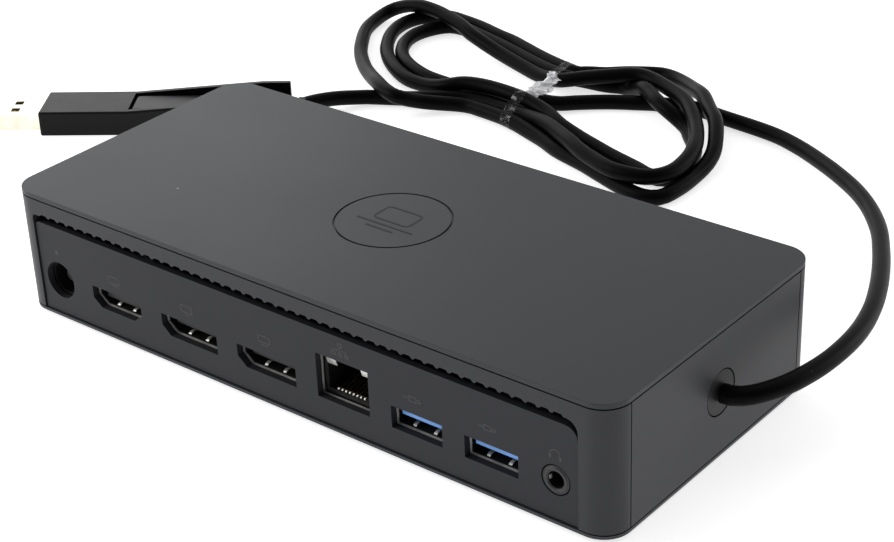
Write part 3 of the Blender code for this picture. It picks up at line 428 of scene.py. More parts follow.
def shell_steel(colour_now):
    """Plated shell: bright on the edge at its mouth, and dark inside, where no light reaches."""
    finish = Finish("shell_steel")
    along = finish.node("ShaderNodeSeparateXYZ", None, {0: finish.place}, 1)
    deep = finish.span(along.math("ABSOLUTE", along), SHELL_EDGE - 0.0002, SHELL_EDGE, 1.0, 0.0)
    dull = finish.noise(0.004, 3.0)
    edge = finish.blend(finish.span(dull, 0.35, 0.7), colour_now, tinted(colour_now, 0.6))
    return finish.done(
        base_color=finish.blend(deep, edge, tinted(colour_now, 0.02)), metallic=0.35,
        roughness=0.30 + 0.18 * (dull - 0.5) + 0.2 * deep,
        normal=finish.bump(finish.noise(0.0009, 2.0, 0.6, (1.0, 1.0, 6.0)), 0.000004, 0.6),
    )


def circuit_board():
    """Green solder mask over copper runs, with gold pads."""
    finish = Finish("circuit_board")
    runs = finish.node(
        "ShaderNodeTexWave", {"wave_type": "BANDS", "bands_direction": "DIAGONAL"},
        {"Vector": finish.place, "Scale": 130.0, "Distortion": 5.0, "Detail": 1.0, "Detail Scale": 0.6},
        "Fac",
    )
    copper = runs > 0.82
    pad = finish.cells(0.0028) < 0.13
    green = finish.blend(copper * 0.8, (0.006, 0.050, 0.022), (0.016, 0.120, 0.045))
    shade = finish.blend(pad, green, (0.70, 0.52, 0.22))
    return finish.done(
        base_color=shade, metallic=pad * 0.9, roughness=0.42 - 0.12 * pad,
        normal=finish.bump(copper + pad, 0.00003, 0.7),
    )


def printed_ink(name, base):
    finish = Finish(name)
    worn = finish.noise(0.0006, 3.0)
    return finish.done(
        base_color=finish.blend(finish.span(worn, 0.35, 0.75), base, tinted(base, 0.72)),
        roughness=0.62 + 0.15 * (worn - 0.5),
    )


def clear_lens():
    finish = Finish("lens_plastic")
    cloud = finish.noise(0.0008, 2.0)
    return finish.done(
        base_color=finish.blend(cloud, (0.55, 0.58, 0.60), (0.80, 0.82, 0.84)),
        roughness=0.16 + 0.1 * cloud, specular_ior_level=0.6,
    )


def shared(name, make, colour_name, *values, **named):
    """A material that several pieces share, made the first time it is asked for."""
    base = getattr(bpy.context.scene.docking_sockets, colour_name)
    return bpy.data.materials.get(name) or make(name, base, *values, **named)


def contact_gold():
    return shared("contact_gold", plated_metal, "contact_colour", 0.26)


def shield_plating():
    return shared("shield_plating", plated_metal, "shield_colour", 0.30, metal=0.5)


def black_insert():
    return shared("black_insert", shiny_plastic, "insert_colour", 0.45)


def dress(material, *names):
    """Gives CAD nodes a material in place of their plain one."""
    for name in names:
        for held in frame["nodes"][name].material_slots:
            held.material = material


def named_like(*starts):
    return [name for name in frame["nodes"] if name.startswith(starts)]


def put(name, data):
    """A new object in the scene."""
    made = bpy.data.objects.new(name, data)
    bpy.context.scene.collection.objects.link(made)
    return made


def bridge(cage, rings):
    """Joins each ring of points to the next one with faces."""
    for a, b in zip(rings, rings[1:]):
        for k in range(len(a)):
            m = (k + 1) % len(a)
            cage.faces.new((a[k], a[m], b[m], b[k]))


def place_piece(name, mesh, material, body, smooth=True):
    """A finished piece: its mesh in place, its material, and the body that it rides on."""
    mesh.name = name
    piece = put(name, mesh)
    mesh.materials.clear()
    mesh.materials.append(material)
    for face in mesh.polygons:
        face.use_smooth = smooth
    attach(piece, body)
    return piece


def mesh_of(build):
    """A mesh from a function that fills a bmesh."""
    cage = bmesh.new()
    build(cage)
    bmesh.ops.remove_doubles(cage, verts=cage.verts, dist=1e-7)
    bmesh.ops.recalc_face_normals(cage, faces=cage.faces)
    mesh = bpy.data.meshes.new("mesh")
    cage.to_mesh(mesh)
    cage.free()
    return mesh


def bevelled(piece, width, segments=2):
    rounding = piece.modifiers.new("rounding", "BEVEL")
    rounding.width, rounding.segments = width, segments
    rounding.limit_method, rounding.angle_limit = "ANGLE", math.radians(40)
    return piece


def smooth_line(points, steps=12):
    """Points of a curve through the given ones, as an array."""
    known = np.array(points, float)
    share = np.linspace(0, 1, steps, endpoint=False)[:, None]
    made = []
    last = len(known) - 1
    for i in range(last):
        before, a, b, after = (known[k] for k in (max(i - 1, 0), i, i + 1, min(i + 2, last)))
        made.append(0.5 * (
            2 * a + (b - before) * share + (2 * before - 5 * a + 4 * b - after) * share**2
            + (3 * a - before - 3 * b + after) * share**3
        ))
    return np.vstack([*made, known[-1:]])


def evenly(line, spacing):
    along = np.r_[0, np.cumsum(np.linalg.norm(np.diff(line, axis=0), axis=1))]
    stops = np.linspace(0, along[-1], round(along[-1] / spacing) + 1)
    return np.stack([np.interp(stops, along, line[:, k]) for k in range(3)], 1)


def along_ends(values, weight):
    """values with each inner row drawn towards its neighbours."""
    spread = values.copy()
    spread[1:-1] = (values[:-2] + weight * values[1:-1] + values[2:]) / (weight + 2)
    return spread


def settled(line, thick):
    """The cord's line, in millimetres, with its strands pushed a diameter apart and kept off the table.

    The pushes are spread along the cord, so it stays smooth. Its first and last points keep their places."""
    count = len(line)
    index = np.arange(count)
    apart = np.abs(index[:, None] - index[None, :]) > int(2.5 * thick / SPACING)
    free = np.ones((count, 1))
    free[:6] = free[-6:] = 0
    middle = (TIE_TOP + TIE_BOTTOM) / 2 / MM
    run = (TIE_TOP - TIE_BOTTOM).normalized().orthogonal()
    off_waist = (line[:, :2] - np.array(middle)) @ np.array(run)
    table = thick / 2 + WAIST_LIFT * np.exp(-((off_waist / 7.0) ** 2)) * free[:, 0]
    moved = np.zeros_like(line)
    clear = thick + 0.05
    for turn in range(SETTLE_ROUNDS):
        now = line + moved
        gap = now[:, None, :] - now[None, :, :]
        far = np.sqrt((gap**2).sum(-1))
        i, j = np.nonzero((far < clear) & apart)
        push = np.zeros_like(now)
        if len(i):
            np.add.at(push, i, ((clear - far[i, j]) * 0.5 / np.maximum(far[i, j], 1e-6))[:, None] * gap[i, j])
            push /= np.maximum(np.bincount(i, minlength=count)[:, None], 1)
        for _ in range(3):
            push = along_ends(push, 2)
        moved += free * push * 1.6
        if turn % 4 == 0:
            moved = along_ends(moved, 6)
        moved[:, 2] = np.maximum(moved[:, 2], table - line[:, 2])
        moved *= free
    return line + moved


def cord_line(diameter):
    """The whole cord's centreline, in metres."""
    hank = [(*station, LYING)[:3] for station in ENTRY_RUN + FIRST_TURN + SECOND_TURN + THIRD_TURN + LAST_RUN]
    route = np.vstack([np.array(FREE_ROUTE) / MM, hank, np.array(END_ROUTE) / MM])
    return settled(evenly(smooth_line(route), SPACING), diameter / MM) * MM


def turned(profile, sides, centre, axis):
    """Fills a bmesh with a closed profile, of (radius, distance along the axis), turned round the axis."""
    axis = Vector(axis).normalized()
    across = axis.orthogonal().normalized()
    other = axis.cross(across)

    def build(cage):
        rings = []
        for k in range(sides):
            angle = math.tau * k / sides
            out = across * math.cos(angle) + other * math.sin(angle)
            rings.append([cage.verts.new(Vector(centre) + out * r + axis * d) for r, d in profile])
        bridge(cage, rings + rings[:1])

    return build


class Pattern(Tree):
    """A Geometry Nodes tree with named inputs, for pieces that repeat."""

    def __init__(self, name, inputs):
        self.group = bpy.data.node_groups.new(name, "GeometryNodeTree")
        super().__init__(self.group)
        sockets = self.group.interface
        sockets.new_socket(name="Geometry", in_out="INPUT", socket_type="NodeSocketGeometry")
        self.identifiers = {}
        for title, kind in inputs.items():
            made = sockets.new_socket(name=title, in_out="INPUT", socket_type=f"NodeSocket{kind}")
            self.identifiers[title] = made.identifier
        sockets.new_socket(name="Geometry", in_out="OUTPUT", socket_type="NodeSocketGeometry")
        self.start = self.group.nodes.new("NodeGroupInput")

    def given(self, title):
        return Signal(self, self.start.outputs[title])

    def ends(self, shapes):
        """Realises the instances, gives them their material and closes the tree."""
        real = self.node("GeometryNodeRealizeInstances", None, {"Geometry": shapes})
        dressed = self.node(
            "GeometryNodeSetMaterial", None, {"Geometry": real, "Material": self.given("Finish")}
        )
        self.node("NodeGroupOutput", None, {"Geometry": dressed}, None)

    def grown(self, values, base=None):
        """The plain mesh that the tree makes from these inputs."""
        start = put("pattern_start", base or bpy.data.meshes.new("pattern_start"))
        modifier = start.modifiers.new("pattern", "NODES")
        modifier.node_group = self.group
        for title, value in values.items():
            modifier[self.identifiers[title]] = value
        graph = bpy.context.evaluated_depsgraph_get()
        mesh = bpy.data.meshes.new_from_object(start.evaluated_get(graph), depsgraph=graph)
        start.modifiers.remove(modifier)
        bpy.data.objects.remove(start)
        return mesh


def spring_pattern():
    """A row, along X, of sheet strips that each follow one bend."""
    pattern = Pattern("spring_row", {
        "Count": "Int", "Pitch": "Float", "Start": "Vector", "Bend": "Vector", "End": "Vector",
        "Width": "Float", "Thickness": "Float", "Finish": "Material",
    })
    path = pattern.node("GeometryNodeCurveQuadraticBezier", None, {
        "Resolution": 7, "Start": pattern.given("Start"), "Middle": pattern.given("Bend"),
        "End": pattern.given("End"),
    })
    path = pattern.node("GeometryNodeSetCurveNormal", {"mode": "Z_UP"}, {"Curve": path})
    section = pattern.node(
        "GeometryNodeCurvePrimitiveQuadrilateral", None,
        {"Width": pattern.given("Width"), "Height": pattern.given("Thickness")},
    )
    strip = pattern.node(
        "GeometryNodeCurveToMesh", None, {"Curve": path, "Profile Curve": section, "Fill Caps": True}
    )
    count, pitch = pattern.given("Count"), pattern.given("Pitch")
    first = pattern.node("ShaderNodeCombineXYZ", None, {"X": (count - 1.0) * pitch * -0.5})
    step = pattern.node("ShaderNodeCombineXYZ", None, {"X": pitch})
    stops = pattern.node(
        "GeometryNodeMeshLine", {"mode": "OFFSET"}, {"Count": count, "Start Location": first, "Offset": step}
    )
    pattern.ends(pattern.node("GeometryNodeInstanceOnPoints", None, {"Points": stops, "Instance": strip}))
    return pattern


def screw_pattern():
    """A screw at each point of the start mesh, head down, with a crossed recess."""
    pattern = Pattern("case_screw", {
        "Head": "Float", "Crown": "Float", "Height": "Float", "Shank": "Float", "Length": "Float",
        "Slot": "Float", "Finish": "Material",
    })
    head, height, slot = pattern.given("Head"), pattern.given("Height"), pattern.given("Slot")
    crown = pattern.node(
        "GeometryNodeMeshCone", None,
        {"Vertices": 40, "Radius Top": head, "Radius Bottom": pattern.given("Crown"), "Depth": height},
    )
    deep = height * 1.2
    blades = [
        pattern.node("ShaderNodeCombineXYZ", None, {"X": x, "Y": y, "Z": deep})
        for x, y in ((head * 1.25, slot), (slot, head * 1.25))
    ]
    cutters = [pattern.node("GeometryNodeMeshCube", None, {"Size": blade}) for blade in blades]
    for cutter in cutters:
        crown = pattern.node("GeometryNodeMeshBoolean", {"operation": "DIFFERENCE"}, {0: crown, 1: cutter})
    shank = pattern.node(
        "GeometryNodeMeshCylinder", None,
        {"Vertices": 20, "Radius": pattern.given("Shank"), "Depth": pattern.given("Length")},
    )
    raised = pattern.node("ShaderNodeCombineXYZ", None, {"Z": pattern.given("Length") * 0.5 + height})
    shank = pattern.node("GeometryNodeTransform", None, {"Geometry": shank, "Translation": raised})
    whole = pattern.node("GeometryNodeJoinGeometry")
    for part in (crown, shank):
        pattern.group.links.new(part.socket, whole.socket.node.inputs[0])
    pattern.ends(pattern.node(
        "GeometryNodeInstanceOnPoints", None, {"Points": pattern.given("Geometry"), "Instance": whole}
    ))
    return pattern


def joined(meshes):
    """One mesh of several, all with the same material."""
    cage = bmesh.new()
    for mesh in meshes:
        cage.from_mesh(mesh)
    whole = bpy.data.meshes.new("joined")
    cage.to_mesh(whole)
    cage.free()
    return whole


def strips(pattern, centre, count, pitch, line, width, thick, finish):
    """A row of strips: line is three (y, z) places, and centre the row's middle x."""
    start, bend, end = ((centre, y, z) for y, z in line)
    return pattern.grown({
        "Count": count, "Pitch": pitch, "Start": start, "Bend": bend, "End": end,
        "Width": width, "Thickness": thick, "Finish": finish,
    })


def inward(y, way, z, *steps):
    """Places (y, z) from a socket's mouth: each step is how far in, and how far up."""
    return [(y + way * depth, z + rise) for depth, rise in steps]


def mouth(node):
    """A socket's middle x, the y of its mouth, and the way in along y."""
    low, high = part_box(node)
    way = PORT_SIDE if low.y < 0 else FRONT_SIDE
    return (low.x + high.x) / 2, (low.y if way == PORT_SIDE else high.y), way


def rounded(width, height, radius, sides=4):
    """The outline of a rectangle with round corners, about its middle."""
    made = []
    for corner, (x, y) in enumerate(((1, 1), (-1, 1), (-1, -1), (1, -1))):
        for k in range(sides + 1):
            angle = math.pi / 2 * (corner + k / sides)
            made.append((
                x * (width / 2 - radius) + radius * math.cos(angle),
                y * (height / 2 - radius) + radius * math.sin(angle),
            ))
    return made


def circle(radius, sides=28):
    angles = [math.tau * k / sides for k in range(sides)]
    return [(radius * math.cos(angle), radius * math.sin(angle)) for angle in angles]


class Print:
    """Thin flat shapes on a plane: right and up are its directions, and out the way it faces."""

    def __init__(self, cage, origin, right, up, thick):
        self.cage, self.origin = cage, Vector(origin)
        self.right, self.up = Vector(right), Vector(up)
        self.out = self.right.cross(self.up) * thick

    def ring(self, outline, x, y, level):
        return [
            self.cage.verts.new(self.origin + self.right * (x + u) + self.up * (y + v) + self.out * level)
            for u, v in outline
        ]

    def plate(self, outline, x=0.0, y=0.0):
        under, over = self.ring(outline, x, y, 0), self.ring(outline, x, y, 1)
        self.cage.faces.new(over)
        self.cage.faces.new(under[::-1])
        bridge(self.cage, (under, over))

    def hoop(self, outer, inner, x=0.0, y=0.0):
        edges = ((outer, 0), (outer, 1), (inner, 1), (inner, 0))
        rings = [self.ring(line, x, y, level) for line, level in edges]
        bridge(self.cage, rings + rings[:1])

    def bar(self, x, y, width, height):
        self.plate(rounded(width, height, min(width, height) * 0.45, 3), x, y)

    def frame(self, x, y, width, height, line):
        round_off = min(width, height) * 0.22
        inner = rounded(width - 2 * line, height - 2 * line, round_off * 0.5)
        self.hoop(rounded(width, height, round_off), inner, x, y)

    def arch(self, x, y, radius, line, sides=18):
        """Half a ring, open downwards."""
        angles = [math.pi * k / sides for k in range(sides + 1)]
        wide, narrow = radius + line / 2, radius - line / 2
        outer = [(wide * math.cos(angle), wide * math.sin(angle)) for angle in angles]
        inner = [(narrow * math.cos(angle), narrow * math.sin(angle)) for angle in reversed(angles)]
        self.plate(outer + inner, x, y)


def power_mark(ink, x, z, line):
    ink.plate(circle(0.0006), x, z)


def screen_mark(ink, x, z, line):
    ink.frame(x, z + 0.0003, 0.0036, 0.0019, line)
    ink.bar(x, z - 0.0011, 0.0020, line)


def network_mark(ink, x, z, line):
    ink.frame(x, z + 0.0009, 0.0013, 0.0011, line)
    ink.bar(x, z + 0.0001, line, 0.0006)
    ink.bar(x, z - 0.0002, 0.0038, line)
    for side in (-1, 0, 1):
        ink.bar(x + side * 0.00175, z - 0.0005, line, 0.0006)
        ink.frame(x + side * 0.00175, z - 0.0012, 0.0012, 0.0010, line)


def plug_mark(ink, x, z, line):
    ink.frame(x - 0.0007, z, 0.0020, 0.0014, line)
    ink.frame(x + 0.0008, z, 0.0012, 0.0009, line)
    ink.bar(x - 0.0023, z, 0.0014, line)


def sound_mark(ink, x, z, line):
    ink.arch(x, z, 0.0012, line)
    for side in (-1, 1):
        ink.bar(x + side * 0.0012, z - 0.0004, 0.0006, 0.0013)


# Each mark, its port's node, how high its middle is, and the side that it is on
MARKS = (
    (power_mark, "power_jack_body", 0.0178, PORT_SIDE),
    (screen_mark, "hdmi_shell", 0.0160, PORT_SIDE),
    (screen_mark, "displayport_a_shell", 0.0160, PORT_SIDE),
    (screen_mark, "displayport_b_shell", 0.0162, PORT_SIDE),
    (network_mark, "lan_socket_can", 0.0214, PORT_SIDE),
    (plug_mark, "usb_rear_a_shell", 0.0163, PORT_SIDE),
    (plug_mark, "usb_rear_b_shell", 0.0166, PORT_SIDE),
    (sound_mark, "line_out_jack", 0.0166, PORT_SIDE),
    (plug_mark, "usb_front_a_shell", 0.0163, FRONT_SIDE),
    (plug_mark, "usb_front_b_shell", 0.0163, FRONT_SIDE),
    (plug_mark, "usb_c_front_shell", 0.0152, FRONT_SIDE),
    (sound_mark, "headset_jack", 0.0166, FRONT_SIDE),
    (power_mark, "power_light_pipe", 0.0138, FRONT_SIDE),
)


class DOCKING_OT_stage(bpy.types.Operator):
    """Lays the floor, and sets the lights and the camera"""

    bl_idname = "docking.stage"
    bl_label = "Stage"

    def execute(self, context):
        settings = context.scene.docking_stage
        finish = Finish("pale_paper")
        cloud = finish.noise(0.35, 2.0)
        paper = finish.done(
            base_color=finish.blend(cloud, tinted(settings.floor_colour, 0.985), settings.floor_colour),
            roughness=0.82 + 0.05 * cloud, specular_ior_level=0.2, emission_color=(1.0, 1.0, 1.0, 1.0),
            emission_strength=settings.glow,
        )
        half = 3.0
        mesh = bpy.data.meshes.new("floor")
        mesh.from_pydata(
            [(-half, -half, 0), (half, -half, 0), (half, half, 0), (-half, half, 0)], [], [(0, 1, 2, 3)]
        )
        mesh.materials.append(paper)
        put("floor", mesh)

        world = bpy.data.worlds.new("studio")
        world.use_nodes = True
        world.node_tree.nodes.clear()
        room = Tree(world.node_tree)
        way = room.node("ShaderNodeTexCoord", output="Generated")
        away = room.node("ShaderNodeVectorMath", {"operation": "DOT_PRODUCT"}, {0: way, 1: SKY_WAY}, "Value")
        strength = room.node("ShaderNodeMapRange", None, {
            "Value": away, "From Min": -0.6, "From Max": 0.5,
            "To Min": settings.dark_sky, "To Max": settings.bright_sky,
        })
        light = room.node("ShaderNodeBackground", None, {"Color": (1.0, 1.0, 1.0, 1.0), "Strength": strength})
        room.node("ShaderNodeOutputWorld", None, {"Surface": light}, None)
        context.scene.world = world
        context.scene.view_settings.view_transform = "Standard"
        for name, place, width, power in (
            ("back_softbox", (-0.72, 0.42, 0.26), 0.5, settings.back),
            ("left_softbox", (-0.55, -0.35, 0.30), 0.4, settings.left),
            ("right_softbox", (0.50, 0.80, 0.22), 0.5, settings.right),
        ):
            lamp = bpy.data.lights.new(name, "AREA")
            lamp.size, lamp.energy = width, power
            light = put(name, lamp)
            light.location = place
            light.rotation_euler = (-Vector(place)).to_track_quat("-Z", "Y").to_euler()

        lens = bpy.data.cameras.new("studio_camera")
        lens.sensor_width, lens.lens = 36.0, settings.lens
        lens.clip_start, lens.clip_end = 0.01, 20.0
        camera = put("studio_camera", lens)
        turn, rise, roll = settings.azimuth, settings.elevation, settings.roll
        back = Vector((math.sin(turn) * math.cos(rise), -math.cos(turn) * math.cos(rise), math.sin(rise)))
        right = Vector((math.cos(turn), math.sin(turn), 0.0))
        up = back.cross(right)
        level = right * math.cos(roll) + up * math.sin(roll)
        tilted = up * math.cos(roll) - right * math.sin(roll)
        camera.matrix_world = Matrix.Translation(VIEW_MIDDLE + back * settings.distance) @ Matrix(
            (level, tilted, back)
        ).transposed().to_4x4()
        context.scene.camera = camera
        return {"FINISHED"}


class DOCKING_OT_cord(bpy.types.Operator):
    """Lays the cord: along its route, in its tied hank, and into its plug"""

    bl_idname = "docking.cord"
    bl_label = "Cord"

    def execute(self, context):
        settings = context.scene.docking_cord
        line = cord_line(settings.diameter)
        curve = bpy.data.curves.new("computer_cord", "CURVE")
        curve.dimensions = "3D"
        curve.bevel_depth, curve.bevel_resolution = settings.diameter / 2, 5
        curve.use_fill_caps = True
        curve.materials.append(cord_jacket(settings.jacket_colour))
        spline = curve.splines.new("POLY")
        spline.points.add(len(line) - 1)
        for point, place in zip(spline.points, line):
            point.co = (*place, 1.0)
        spline.use_smooth = True
        cord = put("computer_cord", curve)
        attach(cord, DOCK)
        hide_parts("cord_free_run", "cord_hank", "cord_end_run")

        r = settings.diameter / 2
        sleeve = [(r + 0.00002, 0.0)]
        for rib in range(5):
            at = 0.0012 + rib * 0.0014
            wide = r + 0.00095 - rib * 0.00014
            narrow = wide - 0.0004
            sleeve += [(wide, at), (wide, at + 0.0008), (narrow, at + 0.0010), (narrow, at + 0.0012)]
        sleeve.append((r + 0.00002, 0.0086))
        into_plug = Vector(line[-4] - line[-1]).normalized()
        mesh = mesh_of(turned(sleeve, 32, line[-1], into_plug))
        boot = place_piece("plug_boot", mesh, soft_rubber("boot_rubber", settings.rubber_colour, 0.6),
                           DOCK)
        bevelled(boot, 0.0001)
        return {"FINISHED"}


def crossings(line, middle, across, run, shift):
    """Where the cord passes through the upright plane across the waist, as (along across, height)."""
    places = line - np.array((middle.x, middle.y, 0.0))
    off = places[:, :2] @ np.array(run) - shift
    along = places[:, :2] @ np.array(across)
    found = []
    for i in np.nonzero(off[:-1] * off[1:] < 0)[0]:
        share = off[i] / (off[i] - off[i + 1])
        if abs(along[i]) < 0.03:
            height = line[i, 2] + share * (line[i + 1, 2] - line[i, 2])
            found.append((along[i] + share * (along[i + 1] - along[i]), height))
    return np.array(sorted(found))


def around(centres, reach, count):
    """count even points of the tight outline round discs of radius reach."""
    angles = np.linspace(0, math.tau, 240, endpoint=False)
    ways = np.stack([np.cos(angles), np.sin(angles)], 1)
    outline = centres[np.argmax(centres @ ways.T, axis=0)] + reach * ways
    closed = np.c_[np.vstack([outline, outline[:1]]), np.zeros(len(outline) + 1)]
    along = np.r_[0, np.cumsum(np.linalg.norm(np.diff(closed, axis=0), axis=1))]
    stops = np.linspace(0, along[-1], count, endpoint=False)
    return np.stack([np.interp(stops, along, closed[:, k]) for k in range(2)], 1)


class DOCKING_OT_tie(bpy.types.Operator):
    bl_idname = "docking.tie"
    bl_label = "Tie"

    def execute(self, context):
        settings = context.scene.docking_cord
        cord = bpy.data.objects["computer_cord"]
        line = np.array([point.co[:3] for point in cord.data.splines[0].points])
        middle = (TIE_TOP + TIE_BOTTOM) / 2
        across = (TIE_TOP - TIE_BOTTOM).normalized()
        run = Vector((across.y, -across.x))
        reach = settings.diameter / 2 + 0.00022
        noise = np.random.default_rng(11)

        def world(place, shift):
            flat = middle + across * place[0] + run * shift
            return Vector((flat.x, flat.y, max(place[1], 0.00012)))

        def band(cage, rear):
            shifts = np.linspace(-0.5, 0.5, 9) * settings.tie_width
            creases = noise.normal(0, 1, (9, BAND_POINTS))
            creases = (creases + np.roll(creases, 1, 1) + np.roll(creases, -1, 1)) / 3
            rows = []
            for row, shift in enumerate(shifts):
                found = crossings(line, middle, across, run, shift)
                gap = np.argmax(np.diff(found[:, 0])) + 1
                bundle = found[gap:] if rear else found[:gap]
                outline = around(bundle, reach, BAND_POINTS)
                away = outline - bundle.mean(axis=0)
                away /= np.linalg.norm(away, axis=1)[:, None]
                lift = 0.00010 * np.abs(creases[row]) + 0.00012 * (abs(row - 4) / 4) ** 2
                rows.append([cage.verts.new(world(p, shift)) for p in outline + away * lift[:, None]])
            bridge(cage, rows)

        def knot(cage):
            found = crossings(line, middle, across, run, 0.0)
            gap = np.argmax(np.diff(found[:, 0])) + 1
            near, far = found[gap - 1], found[gap]
            path = smooth_line([
                (far[0] - 0.0002, far[1] + 0.0022, -0.0006), (far[0] - 0.0022, far[1] + 0.0014, 0.0006),
                ((near[0] + far[0]) / 2, 0.0034, -0.0004), (near[0] + 0.0016, near[1] + 0.0020, 0.0008),
                (near[0] - 0.0016, near[1] + 0.0028, -0.0004), (near[0] - 0.0042, near[1] + 0.0030, 0.0005),
            ], 5)
            rings = []
            for step, (along, height, shift) in enumerate(path):
                share = step / (len(path) - 1)
                swell = 0.0007 + 0.0013 * math.sin(math.pi * min(1.0, share * 1.15))
                radii = swell * (1 + 0.55 * noise.uniform(-1, 1, TWIST_POINTS))
                ring = []
                for k, radius in enumerate(radii):
                    angle = math.tau * k / TWIST_POINTS + 0.35 * step
                    flat = middle + across * along + run * (shift + 1.25 * radius * math.cos(angle))
                    rise = max(0.00015, height + 0.62 * radius * math.sin(angle))
                    ring.append(cage.verts.new((flat.x, flat.y, rise)))
                rings.append(ring)
            bridge(cage, rings)
            cage.faces.new(rings[0][::-1])
            cage.faces.new(rings[-1])

        # The bands' film: dark and clear, with pale creases that are partly painted glints
        clear = clear_film("clear_film", 0.0)
        for name, rear in (("tie_band_rear", True), ("tie_band_near", False)):
            piece = place_piece(name, mesh_of(lambda cage: band(cage, rear)), clear, DOCK)
            skin = piece.modifiers.new("film", "SOLIDIFY")
            skin.thickness, skin.offset = settings.film_thick, 0.0
        # The twist's film at full strength: partly real cloudiness, partly a painted sheen standing in for its
        # strong reflection
        milky_and_sheen = clear_film("milky_film", 1.0)
        twist = place_piece("tie_twist", mesh_of(knot), milky_and_sheen, DOCK, smooth=False)
        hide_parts("cord_tie")
        return {"FINISHED"}


class DOCKING_OT_case(bpy.types.Operator):
    """Finishes the case's covers, frames, panels, bush and feet"""

    bl_idname = "docking.case"
    bl_label = "Case"

    def execute(self, context):
        case = context.scene.docking_case
        cord = context.scene.docking_cord
        dress(moulded_plastic("cover_plastic", case.cover_colour, case, 0.8), "top_cover")
        dress(moulded_plastic("side_plastic", case.side_colour, case),
              "port_side_frame", "front_side_frame", "end_panel_cord", "end_panel_lock")
        # Painted light: the bottom cover is the side plastic painted 1.6 times lighter, to hide the dark line
        # of shadow at its lip along the bottom edge
        dress(moulded_plastic("base_plastic", tinted(case.side_colour, 1.6), case), "base_cover")
        panels = moulded_plastic("panel_plastic", case.panel_colour, case, 0.0, 0.62)
        dress(panels, "port_panel", "front_panel")
        dress(soft_rubber("foot_rubber", cord.rubber_colour), *named_like("foot_"))
        dress(soft_rubber("bush_rubber", tinted(cord.rubber_colour, 0.8), 0.5), "cord_bush")
        dress(clear_lens(), "power_light_pipe")
        dress(plated_metal("lock_steel", (0.30, 0.30, 0.31), 0.38), "lock_slot_plate")
        return {"FINISHED"}


class DOCKING_OT_sockets(bpy.types.Operator):
    """Finishes the sockets' shells, inserts and tongues, and adds rims to the sound sockets"""

    bl_idname = "docking.sockets"
    bl_label = "Sockets"

    def execute(self, context):
        settings = context.scene.docking_sockets
        dark_tongues = (*VIDEO_SOCKETS, "usb_c_front")
        dress(shell_steel(settings.shield_colour), "lan_socket_can",
              *(f"{socket}_shell" for socket in (*dark_tongues, *FAST_SOCKETS)))
        dress(black_insert(), "lan_socket_insert", "power_jack_body", "power_jack_pin", "cord_header",
              *SOUND_SOCKETS, *(f"{socket}_tongue" for socket in dark_tongues))
        dress(shiny_plastic("tongue_plastic", settings.tongue_colour, 0.38),
              *(f"{socket}_tongue" for socket in FAST_SOCKETS))
        rim = [
            (0.00200, -0.0006), (0.00205, 0.00002), (0.00225, 0.00016), (0.00260, 0.00016),
            (0.00285, 0.00002), (0.00290, -0.0002), (0.00290, -0.0006),
        ]
        rims = []
        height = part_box("line_out_jack")[0].z + 0.0033
        for node in SOUND_SOCKETS:
            x, _, way = mouth(node)
            rims.append(mesh_of(turned(rim, 48, (x, -way * COLLAR_FACE, height), (0, -way, 0))))
        place_piece("sound_socket_rims", joined(rims),
                    shiny_plastic("rim_plastic", (0.016, 0.016, 0.019), 0.45), DOCK)
        return {"FINISHED"}


